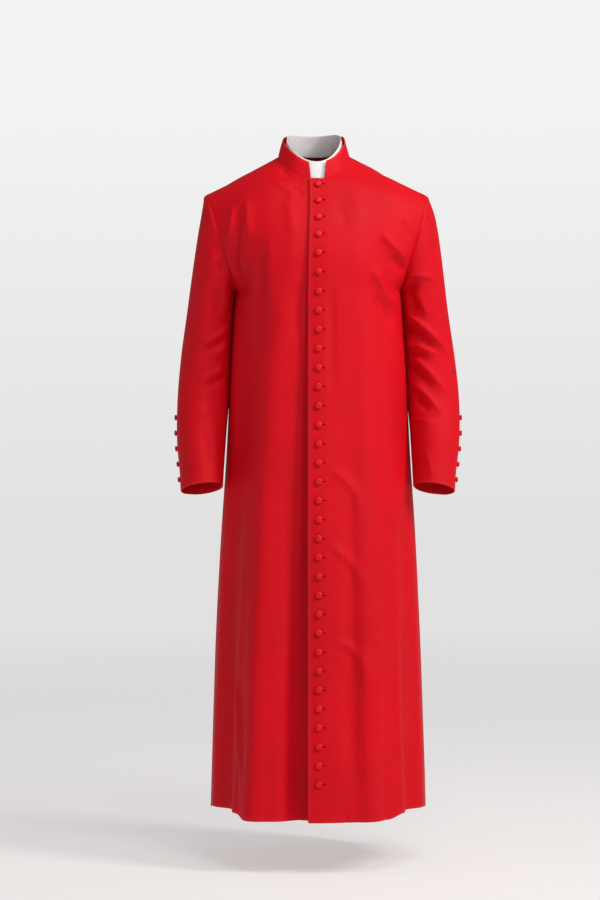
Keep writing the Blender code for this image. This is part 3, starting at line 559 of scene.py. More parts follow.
def eased_line(points, steps=10):
    """A smooth line through a crease's points."""
    if len(points) < 3:
        return points
    padded = np.vstack([2 * points[0] - points[1], points, 2 * points[-1] - points[-2]])
    shares = np.arange(1, steps + 1)[:, None] / steps
    corners = zip(padded, padded[1:], padded[2:], padded[3:])
    runs = [hermite(b, (c - a) / 2, c, (d - b) / 2, shares) for a, b, c, d in corners]
    return np.vstack([points[:1], *runs])


def crease_depth(piece, across, z):
    """How far the creases of a piece move its cloth outwards."""
    total = np.zeros_like(z)
    for depth, width, steep, crisp, *line in CREASES[piece]:
        line = eased_line(np.array(line) / 1000)
        depth, width = depth / 1000, width / 1000
        low, high = line.min(axis=0) - CREASE_SPAN * width, line.max(axis=0) + CREASE_SPAN * width
        close = (across > low[0]) & (across < high[0]) & (z > low[1]) & (z < high[1])
        if not close.any():
            continue
        x, y = across[close], z[close]
        best = np.full(x.shape, 1e9)
        side, along = np.zeros_like(x), np.zeros_like(x)
        walked = 0.0
        for (ax, ay), (bx, by) in zip(line[:-1], line[1:]):
            length = math.hypot(bx - ax, by - ay)
            ux, uy = (bx - ax) / length, (by - ay) / length
            held = np.clip((x - ax) * ux + (y - ay) * uy, 0, length)
            away = np.hypot(x - ax - held * ux, y - ay - held * uy)
            closer = away < best
            best = np.where(closer, away, best)
            side = np.where(closer, np.sign(ux * (y - ay) - uy * (x - ax)), side)
            along = np.where(closer, walked + held, along)
            walked += length
        width = width * np.where(side > 0, 1 - steep, 1 + 0.5 * steep)
        eased = CREASE_ENDS * walked
        ends = smooth(along / eased) * smooth((walked - along) / eased)
        if min(line[0, 1], line[-1, 1]) < HEM_Z + HEM_REACH:
            ends = smooth((walked - along if line[0, 1] < line[-1, 1] else along) / eased)
        profile = np.exp(-((best / width) ** (2 - 0.8 * crisp)))
        total[close] += depth * (0.25 + 0.75 * ends) * ends * profile
    return total


def hang_depth(across, z, shift):
    """The long shallow waves of hanging cloth, swaying a little on their way down."""
    total = np.zeros_like(z)
    for wave in HANG:
        sway = 0.9 * np.sin(np.pi * z / wave.down + wave.shift)
        total += wave.depth * np.sin(np.pi * across / wave.across + sway + wave.shift + shift)
    return total


def body_angle(points):
    x, y, z = points.T
    depth = np.abs(np.where(y < 0, read(BODY, "front", z), read(BODY, "back", z)))
    return np.degrees(np.arctan2(x / read(BODY, "half_width", z), -y / depth))


def underlap(x, setback):
    """How far the right front, or its end of the collar, is set back."""
    return setback * smooth(1 - (-x - LAP_WIDTH) / UNDERLAP_BLEND)


def leaned(points):
    """The points as worn, with the neck a little to one side."""
    height = smooth((points[..., 2] - LEAN_Z[0]) / (LEAN_Z[1] - LEAN_Z[0]))
    behind = smooth((points[..., 1] - LEAN_Y[0]) / (LEAN_Y[1] - LEAN_Y[0]))
    return points - (NECK_LEAN * height * behind)[..., None] * [1, 0, 0]


def button_presses(piece, x, z):
    """The dimple of each front button and the lift at its buttonhole's end."""
    total = np.zeros_like(z)
    for middle_x, middle_z in HOLE_MIDDLES if piece != "back" else ():
        total -= BUTTON_PRESS * near(np.hypot(x - middle_x, z - middle_z), BUTTON_PRESS_REACH)
        if piece == "left":
            end = np.hypot((x - middle_x - HOLE_PULL_X) / HOLE_PULL_LONG, z - middle_z)
            total += HOLE_PULL * near(end, HOLE_PULL_REACH)
    return total


# ---- the sleeve's form ---------------------------------------------------------------------------
def sleeve_ring_point(angle, z):
    turn = np.radians(angle)
    x, y, half_width, half_depth = (read(SLEEVE, column, z) for column in SLEEVE[0]._fields[1:])
    out, back = half_width * np.cos(turn), -half_depth * np.sin(turn)
    turned = smooth((SLEEVE[0].z - z) / (SLEEVE[0].z - SLEEVE[-1].z))
    rise = -turned * (CUFF_RISE_FORWARD * back + CUFF_RISE_INWARD * out)
    return np.stack([x + out, y + back, z + rise], axis=-1)


def sleeve_point(angle, along):
    """along runs from 0 at the armhole through 1 at the first full ring to 2 at the cuff."""
    if along >= 1:
        z = SLEEVE[0].z + (along - 1) * (SLEEVE[-1].z - SLEEVE[0].z)
        return sleeve_ring_point(angle, np.full(np.shape(angle), z))
    turn, step = np.radians(angle), 0.004
    start = armhole_point(angle) - unit(np.array([1, 0, -ARMHOLE_LEAN])) * SEAM_OVERLAP
    level = np.full(np.shape(angle), SLEEVE[0].z)
    end, below = sleeve_ring_point(angle, level), sleeve_ring_point(angle, level - step)
    outer, side = (1 + np.cos(turn)) / 2, np.sin(turn)
    leaving = CAP_OUT + CAP_OUT_AT_TIP * (1 - (1 - outer) ** 2)
    start_slope = np.stack([leaving, -CAP_SIDE * side, -CAP_DOWN - CAP_DOWN_AT_TIP * outer], axis=-1)
    end_slope = (below - end) / step * (start[..., 2] - end[..., 2])[..., None]
    return hermite(start, start_slope, end, end_slope, along)


def sleeve_normals(angle, along):
    step = 0.004
    around = sleeve_point(angle + 1, along) - sleeve_point(angle - 1, along)
    down = sleeve_point(angle, min(along + step, 2)) - sleeve_point(angle, max(along - step, 0))
    return unit(np.cross(around, down))


def armhole_bend(angles, own):
    """Along the armhole: the outward direction that panel and sleeve share, and the wall's inward vector."""
    outwards, inwards, one = [], [], np.array([1.0])
    for angle in angles:
        face = "front" if math.sin(math.radians(angle)) > 0 or angle == 0 else "back"
        level = 1 - min(angle, 360 - angle) / 180
        panel = body_normals(face, level, one)[0]
        if level == 1:
            panel = unit(body_normals("front", 1, one)[0] + body_normals("back", 1, one)[0])
        angle = np.array([angle])
        sleeve = sleeve_normals(angle, 0)[0]
        both = unit(panel + sleeve)
        if (sleeve_point(angle, 0.02) - sleeve_point(angle, 0))[0] @ panel >= 0:
            inward = -(panel if own == "panel" else sleeve) * CLOTH
        else:
            inward = -both * CLOTH / max(both @ panel, 0.6)
        outwards.append(both)
        inwards.append(inward)
    return np.array(outwards), np.array(inwards)


# ---- shells --------------------------------------------------------------------------------------
GRID_PARTS = ("points", "inward", "normals", "uv", "free", "worn", "seam")


class Grid:
    """One face of a piece: points of the smooth form, outward normals and the wall's inward vector; how free
    a rim is (1 at an edge, 0 in a seam), how worn and paler with a painted highlight at an edge, how close to
    a seam; the place on the flat cloth."""

    def __init__(self, points, normals, wall=CLOTH):
        shape = points.shape[:2]
        self.points, self.normals, self.inward = points, normals, -normals * wall
        self.pull = np.zeros(3)  # outwards at the armhole seam, which is drawn in against it
        self.free, self.worn, self.seam = np.ones(shape), np.zeros(shape), np.zeros(shape)
        self.uv, self.there = np.zeros(shape + (2,)), np.ones(shape, bool)

    def numbers(self, closed=False):
        """The number of each point, -1 where there is no cloth; a closed grid comes round to its start."""
        index = np.where(self.there, np.arange(self.there.size).reshape(self.there.shape), -1)
        return np.hstack([index, index[:, :1]]) if closed else index


def grid_cells(index):
    corners = np.stack([index[:-1, :-1], index[:-1, 1:], index[1:, 1:], index[1:, :-1]], axis=-1)
    return corners[(corners >= 0).all(axis=-1)]


def arc(points, axis):
    """Length of cloth from the first row (axis 0) or column (axis 1) of a grid."""
    first = points[:1] if axis == 0 else points[:, :1]
    return np.cumsum(np.linalg.norm(np.diff(points, axis=axis, prepend=first), axis=2), axis=axis)


def new_object(name, data):
    made = bpy.data.objects.new(name, data)
    bpy.context.scene.collection.objects.link(made)
    return made


def shell(name, grids, cells, material, wall=CLOTH, girth=0.0):
    """A closed thin wall on the outer points of the grids; cells number their points one after another. A
    piece that closes on itself has its girth on the flat cloth."""
    used = np.unique(cells)
    parts = ([getattr(grid, part) for grid in grids] for part in GRID_PARTS)
    outer, inward, normals, uv, free, worn, seam = (
        np.concatenate([values.reshape(-1, *values.shape[2:]) for values in part])[used] for part in parts
    )
    cells, count = np.searchsorted(used, cells), len(used)
    facing = np.cross(outer[cells[:, 2]] - outer[cells[:, 0]], outer[cells[:, 3]] - outer[cells[:, 1]])
    turned = (facing * normals[cells[:, 0]]).sum(axis=1) < 0
    cells = np.where(turned[:, None], cells[:, ::-1], cells)
    starts, ends = cells.ravel(), np.roll(cells, -1, axis=1).ravel()
    on_rim = ~np.isin(starts * count + ends, ends * count + starts)
    rim = np.stack([starts[on_rim], ends[on_rim]], axis=1)
    edge = np.unique(rim)

    away = np.zeros_like(outer)
    np.add.at(away, starts, outer[starts] - np.repeat(outer[cells].mean(axis=1), 4, axis=0))
    away = away[edge] - normals[edge] * (away[edge] * normals[edge]).sum(axis=1)[:, None]
    away = unit(away) * free[edge][:, None] * wall / 2

    vertices, source, rings = [outer, outer + inward], [np.arange(count)] * 2, [rim]
    for step in range(1, RIM_STEPS):
        turn = math.pi * step / RIM_STEPS
        vertices.append(outer[edge] + inward[edge] * (1 - math.cos(turn)) / 2 + away * math.sin(turn))
        source.append(edge)
        rings.append(2 * count + (step - 1) * len(edge) + np.searchsorted(edge, rim))
    rings.append(rim + count)
    faces = [cells, cells[:, ::-1] + count]
    faces += [np.hstack([low[:, ::-1], high]) for low, high in zip(rings[:-1], rings[1:])]
    source, faces = np.concatenate(source), np.vstack(faces)

    mesh = bpy.data.meshes.new(name)
    mesh.from_pydata(np.vstack(vertices), [], faces.tolist())
    corners = uv[source][faces]
    if girth:
        across = corners[..., 0]
        split = (across.max(axis=1) - across.min(axis=1)) > girth / 2
        across += np.where(split[:, None] & (across < girth / 2), girth, 0)
    mesh.uv_layers.new(name="UVMap").data.foreach_set("uv", corners.astype(np.float32).ravel())
    # the edge mask carries real wear and a painted highlight; the seam mask only puckers the bump
    for mark, values in (("edge_wear", worn), ("seam", seam)):
        data = mesh.attributes.new(mark, "FLOAT", "POINT").data
        data.foreach_set("value", values[source].astype(np.float32))
    mesh.shade_smooth()
    mesh.set_sharp_from_angle(angle=math.radians(SHARP_ANGLE))
    mesh.materials.append(material)
    return new_object(name, mesh)


def panel_form(face, side):
    """The smooth form of a front, from its lap, or of one half of the back, from its centre line, out to its
    side, with the level and the share of every point."""
    lap_steps, steps = (0, BACK_STEPS) if face == "back" else (LAP_STEPS, FRONT_STEPS)
    neck_level = FACES[face].neck_level
    levels = np.append(-1 + np.arange(FINE_BELOW) / FINE_BELOW, np.arange(FINE_ABOVE + 1) / FINE_ABOVE)
    shape = (len(levels), 2 * lap_steps + 1 + steps)
    grid, share = Grid(np.zeros(shape + (3,)), np.zeros(shape + (3,))), np.zeros(shape)
    for row, level in enumerate(levels):
        lap = LAP_WIDTH + (LAP_WIDTH_AT_NECK - LAP_WIDTH) * float(smooth(level / neck_level))
        edge = lap_share(level, lap) if lap_steps else 0.0
        outer = edge + (1 - edge) * np.arange(1, steps + 1) / steps
        share[row] = np.append(edge * np.arange(-lap_steps, lap_steps + 1) / max(lap_steps, 1), outer)
        first = 0 if level <= neck_level + 1e-9 else lap_steps
        grid.there[row, :first] = False
        signed = side * share[row, first:]
        grid.points[row, first:] = along_row(body_row(face, level), signed)
        grid.normals[row, first:] = body_normals(face, level, signed)
        if level >= 1:
            both = body_normals("front", 1, signed) + body_normals("back", 1, signed)
            grid.normals[row, first:] = unit(both)
    mirror, above = [side, 1, 1], levels > 0
    down_angle = 180 * (1 - levels[above])
    pull, inward = armhole_bend((360 - down_angle) % 360 if face == "back" else down_angle, "panel")
    grid.pull = np.zeros((len(levels), 1, 3))
    grid.pull[above, 0] = pull * mirror
    grid.inward = -grid.normals * CLOTH
    grid.inward[above, -1] = inward * mirror
    return grid, np.broadcast_to(levels[:, None], shape), share


def panel_grid(piece, side, settings):
    """A front or one half of the back, with its folds, creases and seams."""
    back = piece == "back"
    face, lap_steps, hang_shift = ("back", 0, BACK_HANG_SHIFT) if back else ("front", LAP_STEPS, 0.0)
    grid, level, share = panel_form(face, side)
    above_neck = level > FACES[face].neck_level
    x, z = grid.points[..., 0], grid.points[..., 2]
    across, up = arc(grid.points, 1), arc(grid.points, 0)
    to_side, to_shoulder = across[:, -1:] - across, up[-1:] - up
    from_middle = across - across[:, lap_steps : lap_steps + 1]
    angle = body_angle(grid.points.reshape(-1, 3)).reshape(level.shape)

    depth = fold_depth(FOLDS, piece, angle, z, np.radians(read(BODY, "half_width", z)))
    calm = smooth((1 - level) / CALM_BELOW_SHOULDER) * smooth((1 - np.abs(share)) / CALM_BY_ARMHOLE)
    depth = depth * np.where(level > 0, calm, 1.0)
    fixed = smooth(to_side / SEAM_CLEAR) * smooth(to_shoulder / SEAM_CLEAR)
    by_neck = np.where(above_neck, smooth(from_middle / NECK_CLEAR), 1.0)
    depth += settings.crease_amount * crease_depth(piece, x, z) * fixed * by_neck
    depth += settings.crease_amount * hang_depth(x, z, hang_shift) * fixed
    depth += button_presses(piece, x, z)

    seams = np.maximum(near(to_shoulder, SEAM_REACH), near(to_side, SEAM_REACH) * (level <= 0))
    seams = np.maximum(seams, NECK_SEAM_SHARE * near(from_middle, SEAM_REACH) * above_neck)
    if back:
        seams = np.maximum(seams, CENTRE_SEAM_SHARE * near(across, SEAM_REACH))
    armhole = near(to_side, SEAM_REACH) * (level > 0)
    grid.seam = np.maximum(seams, armhole)

    if not back:
        (outer, outer_blend), (inner, inner_blend) = HEM_LIFT_ANGLES
        turned, low = np.abs(angle), smooth((HEM_Z + HEM_LIFT_TALL - z) / HEM_LIFT_TALL)
        lifted = smooth((outer - turned) / outer_blend) * smooth((turned - inner) / inner_blend) * low
        grid.points[..., 2] += HEM_LIFT * lifted
    grid.points += grid.normals * (depth - settings.seam_depth * seams)[..., None]
    grid.points -= grid.pull * (settings.seam_depth * armhole)[..., None]
    if piece == "right":
        grid.points[..., 1] += underlap(grid.points[..., 0], UNDERLAP_SETBACK)
    on_seam = (level >= 1) | ((np.abs(share) >= 1) & (level <= 0))
    grid.points[..., 1] += np.where(on_seam, -FACES[face].sign * SEAM_OVERLAP / 2, 0)
    grid.points = leaned(grid.points)

    grid.free = np.where((np.abs(share) < 1) & (level < 1), 1.0, 0.0)
    # edges paler: real wear and a painted highlight
    grid.worn = near(up, EDGE_WEAR_AND_HIGHLIGHT_REACH)
    if not back:
        grid.free[above_neck & (from_middle < 1e-6)] = 0.0
        grid.worn = np.maximum(grid.worn, np.where(above_neck, 0, near(across, EDGE_WEAR_AND_HIGHLIGHT_REACH)))
    grid.uv = np.stack([from_middle * side, up], axis=-1)
    return grid


def build_front(piece, side, settings):
    grid = panel_grid(piece, side, settings)
    return shell("cloth_front_" + piece, [grid], grid_cells(grid.numbers()), cloth_material(settings))


def build_back(settings):
    """Two halves that share their centre line up to the neck."""
    right, left = (panel_grid("back", side, settings) for side in (-1, 1))
    right_index, left_index = right.numbers(), left.numbers() + right.there.size
    shared = round(FINE_BELOW + FINE_ABOVE * FACES["back"].neck_level) + 1
    left_index[:shared, 0] = right_index[:shared, 0]
    cells = np.vstack([grid_cells(right_index), grid_cells(left_index)])
    return shell("cloth_back", [right, left], cells, cloth_material(settings))


def build_sleeve(piece, side, settings):
    angles = 360 * np.arange(SLEEVE_AROUND) / SLEEVE_AROUND
    places = np.append(np.arange(CAP_STEPS) / CAP_STEPS, 1 + np.arange(TUBE_STEPS + 1) / TUBE_STEPS)
    grid = Grid(*(np.array([of(angles, along) for along in places]) for of in (sleeve_point, sleeve_normals)))
    grid.pull, grid.inward[0] = armhole_bend(angles, "sleeve")
    angle = np.broadcast_to(angles, grid.free.shape)
    turn, z, down = np.radians(angle), grid.points[..., 2], arc(grid.points, 0)
    creased = sum(crease_depth(piece, (angle + shift) * DEGREE, z) for shift in (-360, 0, 360))
    around = SLEEVE_HANG_DEEP * np.sin(turn) + SLEEVE_HANG_WIDE * np.cos(turn)
    creased = creased + hang_depth(around, z, SLEEVE_HANG_SHIFT * side)
    creased = settings.crease_amount * creased * smooth(down / ARMHOLE_CLEAR)
    by_body = smooth((np.abs(angle - 180) - FLAT_BY_BODY) / FLAT_BLEND)
    creased = np.where(creased > 0, creased * by_body, creased)
    creased += read(SIDE_REST, "swell", z) * near(angle - SIDE_REST_ANGLE, SIDE_REST_REACH)
    depth = fold_depth(SLEEVE_FOLDS, "sleeve", angle, z, math.radians(SLEEVE[2].half_depth)) + creased
    head = smooth((np.cos(turn) + ROPE_ENDS) / ROPE_BLEND)
    if side < 0:
        drawn = angle - DRAWN_ANGLE
        head = head * (1 - near(drawn, DRAWN_CALM)) - DRAWN_SHARE * near(drawn, DRAWN_REACH)
    depth = depth + ROPE_HEIGHT * head * near(down - ROPE_PLACE, ROPE_REACH)
    grid.points += grid.normals * depth[..., None]
    grid.seam = near(down, SEAM_REACH)
    grid.points -= grid.pull * (settings.seam_depth * grid.seam)[..., None]
    grid.free[0] = 0
    # the cuff's edge paler: real wear and a painted highlight
    grid.worn = near(down[-1:] - down, EDGE_WEAR_AND_HIGHLIGHT_REACH)
    grid.uv = np.stack([angle * DEGREE, -down], axis=-1)
    mirror = np.array([side, 1, 1])
    grid.points = leaned(grid.points * mirror)
    grid.normals, grid.inward = grid.normals * mirror, grid.inward * mirror
    cells = grid_cells(grid.numbers(closed=True))
    return shell("cloth_" + piece, [grid], cells, cloth_material(settings), girth=360 * DEGREE)


# ---- collar and band -----------------------------------------------------------------------------
def collar_normals(angle, height):
    around = collar_point(angle + 1, height) - collar_point(angle - 1, height)
    up = collar_point(angle, height + 0.01) - collar_point(angle, height - 0.01)
    return unit(np.cross(around, up))


def notch_angle(foot_x, top_x, height):
    """The angle at which a side of the notch stands at this height."""
    wide = NECK.half_width + (COLLAR_TOP.half_width - NECK.half_width) * height
    return math.degrees(math.asin((foot_x + (top_x - foot_x) * height) / wide))


def collar_grid(heights, angles, wall):
    """The rings of the collar at these heights; angles gives each ring's own, or is one for all."""
    level = np.broadcast_to(heights[:, None], (len(heights), angles.shape[-1]))
    angles = np.broadcast_to(angles, level.shape)
    return angles, level, Grid(collar_point(angles, level), collar_normals(angles, level), wall)


def build_collar(settings):
    heights, steps = np.linspace(0, 1, COLLAR_ROWS), np.arange(COLLAR_COLUMNS)
    eased = 0.75 * steps / steps[-1] + 0.25 * (0.5 - 0.5 * np.cos(np.pi * steps / steps[-1]))
    first, last = (
        np.array([notch_angle(foot, top, height) for height in heights])[:, None] for foot, top in COLLAR_ENDS
    )
    angle, level, grid = collar_grid(heights, first + (360 + last - first) * eased, CLOTH)
    grid.seam = near(level * COLLAR_TALL, SEAM_REACH)
    depth = -0.8 * settings.seam_depth * grid.seam
    depth += COLLAR_WAVE * np.sin(np.radians(3 * angle + 40)) * np.sin(math.pi * level)
    depth += COLLAR_RIM_WAVE * np.sin(np.radians(7 * angle)) * level**2
    depth -= COLLAR_TURN_IN * (0.4 + 0.6 * level) * smooth((angle - 315) / (last + 360 - 315))
    line = grid.points + grid.normals * depth[..., None]
    line[0] -= unit(collar_point(angle[0], 1.0) - grid.points[0]) * COLLAR_TUCK
    behind = (line[..., 0] < 0) & (line[..., 1] < 0)
    line[..., 1] += np.where(behind, underlap(line[..., 0], COLLAR_SETBACK), 0)
    grid.points = leaned(line)
    grid.uv = np.stack([np.radians(angle) * COLLAR_RADIUS, level * COLLAR_TALL], axis=-1)
    to_ends = np.minimum(steps, steps[-1] - steps) * COLLAR_STEP
    # the collar's edges paler: real wear and a painted highlight
    grid.worn = np.maximum(near(to_ends, EDGE_WEAR_AND_HIGHLIGHT_REACH), near((1 - level) * COLLAR_TALL, EDGE_WEAR_AND_HIGHLIGHT_REACH))
    grid.free[0] = 0
    return shell("cloth_collar", [grid], grid_cells(grid.numbers()), cloth_material(settings))


def build_band(settings):
    tall = float(np.linalg.norm(collar_point(180.0, 1.0) - collar_point(180.0, 0.0)))
    heights, angles = np.linspace(0.02, 1 + BAND_SHOWS / tall, BAND_ROWS), np.arange(BAND_COLUMNS)
    angle, level, grid = collar_grid(heights, 360 * angles / BAND_COLUMNS, BAND_WALL)
    grid.points = leaned(grid.points - grid.normals * BAND_SETBACK)
    grid.uv = np.stack([np.radians(angle) * BAND_RADIUS, level * tall], axis=-1)
    cells = grid_cells(grid.numbers(closed=True))
    cotton = clerical_band("white_clerical_band_cotton", settings.band_light, settings.band_deep)
    return shell("white_band", [grid], cells, cotton, BAND_WALL, girth=2 * math.pi * BAND_RADIUS)


# ---- materials -----------------------------------------------------------------------------------
WAVE_STRAIGHT, WAVE_SLANTED = 0.314, 0.444  # metres from band to band of a wave texture at scale 1


def srgb(code):
    """Linear colour of an sRGB hex code."""
    parts = [int(code[i : i + 2], 16) / 255 for i in (1, 3, 5)]
    return (*(p / 12.92 if p <= 0.04045 else ((p + 0.055) / 1.055) ** 2.4 for p in parts), 1.0)


def add_node(tree, kind, inputs=None, **settings):
    """A node with its settings; each input is a value, or the node or the socket that feeds it. A kind
    without "Node" in it is that of a shader node."""
    made = tree.nodes.new(kind if "Node" in kind else "ShaderNode" + kind)
    for name, value in settings.items():
        setattr(made, name, value)
    for key, value in (inputs or {}).items():
        if isinstance(value, bpy.types.Node):
            value = value.outputs[0]
        if isinstance(value, bpy.types.NodeSocket):
            tree.links.new(value, made.inputs[key])
        else:
            made.inputs[key].default_value = value
    return made


def new_material(name):
    """A material, its node tree, and the place on the object that patterns are drawn by."""
    made = bpy.data.materials.new(name)
    made.use_nodes = True
    tree = made.node_tree
    tree.nodes.clear()
    return made, tree, add_node(tree, "TexCoord").outputs["Object"]


def shaded(tree, value, low, high, deep, light):
    """A colour that goes from deep to light as the value goes from low to high."""
    spread = add_node(tree, "MapRange", {"Value": value, "From Min": low, "From Max": high})
    return add_node(tree, "Mix", {0: spread, 6: deep, 7: light}, data_type="RGBA").outputs[2]


def woven_cloth(name, light, deep, twill_mm, roughness, specular):
    """Piece-dyed twill of wool and polyester: a fine diagonal rib, uneven yarn and a short soft nap.

    The true rib is 0.6 mm; it is drawn about twice as coarse, as a finer one only flickers.
    """
    made, tree, place = new_material(name)
    cloth = add_node(tree, "UVMap", uv_map="UVMap")
    waves = {"Vector": cloth, "Scale": WAVE_SLANTED / (twill_mm / 1000), "Distortion": 0.5}
    waves |= {"Detail": 1.0, "Detail Scale": 2.0}
    rib = add_node(tree, "TexWave", waves, wave_type="BANDS", bands_direction="DIAGONAL").outputs["Fac"]
    # Threads along and across: noise drawn out, at so many streaks to the metre.
    streaks = [
        add_node(tree, "Mapping", {"Vector": cloth, "Scale": scale})
        for scale in ((900.0, 60.0, 1.0), (70.0, 1100.0, 1.0))
    ]
    yarn, weft = (add_node(tree, "TexNoise", {"Vector": streak, "Scale": 1.0}) for streak in streaks)
    cloud, nap, pulls = (
        add_node(tree, "TexNoise", {"Vector": place, "Scale": scale, "Detail": detail})
        for scale, detail in ((7.0, 3.0), (420.0, 3.0), (95.0, 1.0))
    )
    wear_and_highlight = add_node(tree, "Attribute", attribute_name="edge_wear").outputs["Fac"]
    seam = add_node(tree, "Attribute", attribute_name="seam").outputs["Fac"]

    halves = [add_node(tree, "Math", {0: part, 1: 0.5}, operation="MULTIPLY") for part in (yarn, weft)]
    uneven = add_node(tree, "Math", {0: halves[0], 1: halves[1]}, operation="ADD")
    tone = shaded(tree, uneven, 0.36, 0.64, deep, light)
    # Slow clouds in the dye, then the rib's own light and shade.
    for value, low, high, dark, bright in ((cloud, 0.30, 0.70, 0.93, 1.04), (rib, 0.0, 1.0, 0.94, 1.03)):
        keys = {"Value": value, "From Min": low, "From Max": high, "To Min": dark, "To Max": bright}
        tone = add_node(tree, "HueSaturation", {"Value": add_node(tree, "MapRange", keys), "Color": tone})
    # Edges rub paler: real wear, and a painted highlight along them.
    keys = {"Value": nap, "From Min": 0.4, "From Max": 0.62, "To Min": 0.05, "To Max": 0.30}
    patchy = add_node(tree, "MapRange", keys)
    worn = add_node(tree, "Math", {0: wear_and_highlight, 1: patchy}, operation="MULTIPLY", use_clamp=True)
    rubbed_and_highlit = add_node(tree, "HueSaturation", {"Saturation": 0.93, "Value": 1.14, "Color": tone})
    colour = add_node(tree, "Mix", {0: worn, 6: tone, 7: rubbed_and_highlit}, data_type="RGBA").outputs[2]

    pucker = add_node(tree, "Math", {0: pulls, 1: seam}, operation="MULTIPLY")
    bumps = (rib, 0.35, 0.00012), (uneven, 0.45, 0.0002), (pucker, 0.6, 0.0012), (cloud, 0.25, 0.004)
    relief = {}
    for height, strength, distance in bumps:
        relief |= {"Height": height, "Strength": strength, "Distance": distance}
        relief = {"Normal": add_node(tree, "Bump", relief)}
    rough = {"From Min": 0.25, "From Max": 0.75, "To Min": roughness - 0.05, "To Max": roughness + 0.05}
    values = {"Base Color": colour, "Roughness": add_node(tree, "MapRange", {"Value": cloud, **rough})}
    values |= {"IOR": 1.5, "Specular IOR Level": specular, **relief}
    values |= {"Sheen Weight": 0.02, "Sheen Roughness": 0.42, "Sheen Tint": srgb("#FF4A44")}
    add_node(tree, "OutputMaterial", {0: add_node(tree, "BsdfPrincipled", values)})
    return made


def silk_thread(name, light, deep):
    """Twisted buttonhole silk: round, slightly shiny strands with a slanting ply, 0.4 mm to a turn."""
    made, tree, place = new_material(name)
    waves = {"Vector": place, "Scale": 900.0, "Distortion": 1.0}
    ply = add_node(tree, "TexWave", waves, wave_type="BANDS", bands_direction="DIAGONAL").outputs["Fac"]
    tint = add_node(tree, "TexNoise", {"Vector": place, "Scale": 260.0, "Detail": 2.0})
    colour = shaded(tree, tint, 0.35, 0.65, deep, light)
    bump = add_node(tree, "Bump", {"Height": ply, "Strength": 0.5, "Distance": 0.0001})
    values = {"Base Color": colour, "Roughness": 0.6, "Specular IOR Level": 0.1, "Normal": bump}
    add_node(tree, "OutputMaterial", {0: add_node(tree, "BsdfPrincipled", values)})
    return made


def clerical_band(name, light, deep):
    """Starched white cotton, calendered smooth, with a close plain weave and a faintly uneven tone."""
    made, tree, place = new_material(name)
    cloth = add_node(tree, "UVMap", uv_map="UVMap")
    waves = {"Vector": cloth, "Scale": WAVE_STRAIGHT / 0.0008, "Distortion": 0.2}  # threads 0.8 mm apart
    warp, weft = (
        add_node(tree, "TexWave", waves, wave_type="BANDS", bands_direction=axis).outputs["Fac"]
        for axis in ("X", "Y")
    )
    weave = add_node(tree, "Math", {0: warp, 1: weft}, operation="MULTIPLY")
    cloud = add_node(tree, "TexNoise", {"Vector": place, "Scale": 30.0, "Detail": 4.0})
    colour = shaded(tree, cloud, 0.35, 0.7, deep, light)
    rough = {"Value": cloud, "From Min": 0.3, "From Max": 0.7, "To Min": 0.38, "To Max": 0.5}
    bump = add_node(tree, "Bump", {"Height": weave, "Strength": 0.2, "Distance": 0.00006})
    values = {"Base Color": colour, "Roughness": add_node(tree, "MapRange", rough), "Normal": bump}
    values |= {"IOR": 1.5, "Sheen Weight": 0.05}
    add_node(tree, "OutputMaterial", {0: add_node(tree, "BsdfPrincipled", values)})
    return made


def studio_floor(name):
    """Seamless paper: its own grey near the object, melting into the backdrop far away."""
    made, tree, place = new_material(name)
    fibre = add_node(tree, "TexNoise", {"Vector": place, "Scale": 160.0, "Detail": 3.0})
    colour = shaded(tree, fibre, 0.3, 0.7, srgb("#B4B3B2"), srgb("#B9B8B7"))
    bump = add_node(tree, "Bump", {"Height": fibre, "Strength": 0.1, "Distance": 0.0004})
    paper = add_node(tree, "BsdfPrincipled", {"Base Color": colour, "Roughness": 0.9, "Normal": bump})
    lit = add_node(tree, "Emission", {"Color": srgb(SKY), "Strength": FLOOR_GLOW})
    glow = add_node(tree, "Emission", {"Color": srgb(SKY), "Strength": 1.0})
    away = add_node(tree, "VectorMath", {0: place}, operation="LENGTH").outputs["Value"]
    fade = add_node(tree, "MapRange", {"Value": away, "From Min": FLOOR_FADE[0], "From Max": FLOOR_FADE[1]})
    near_by = add_node(tree, "AddShader", {0: paper, 1: lit})
    add_node(tree, "OutputMaterial", {0: add_node(tree, "MixShader", {0: fade, 1: near_by, 2: glow})})
    return made


def backdrop(name):
    """Studio backdrop that glows, painted paler towards the top as painted light, seen but casting no light
    of its own.
    """
    made, tree, place = new_material(name)
    height = add_node(tree, "SeparateXYZ", {0: place}).outputs["Z"]
    # painted light: the glow is paler towards the top
    tone = shaded(tree, height, -2.0, 4.0, srgb(SKY), srgb("#F2F2F2"))
    add_node(tree, "OutputMaterial", {0: add_node(tree, "Emission", {"Color": tone, "Strength": 1.0})})
    return made


def cloth_material(settings):
    known = bpy.data.materials.get("red_wool_twill")
    tones = settings.cloth_light, settings.cloth_deep
    return known or woven_cloth("red_wool_twill", *tones, 1.3, 0.62, 0.14)


def cover_material(settings):
    """The same cloth stretched over a mould, which makes it a little smoother and shinier; its colours are
    painted paler than the garment's, a painted highlight.
    """
    known = bpy.data.materials.get("red_button_cloth")
    tones = settings.button_light_painted_highlight, settings.button_deep_painted_highlight
    return known or woven_cloth("red_button_cloth", *tones, 1.0, 0.48, 0.26)


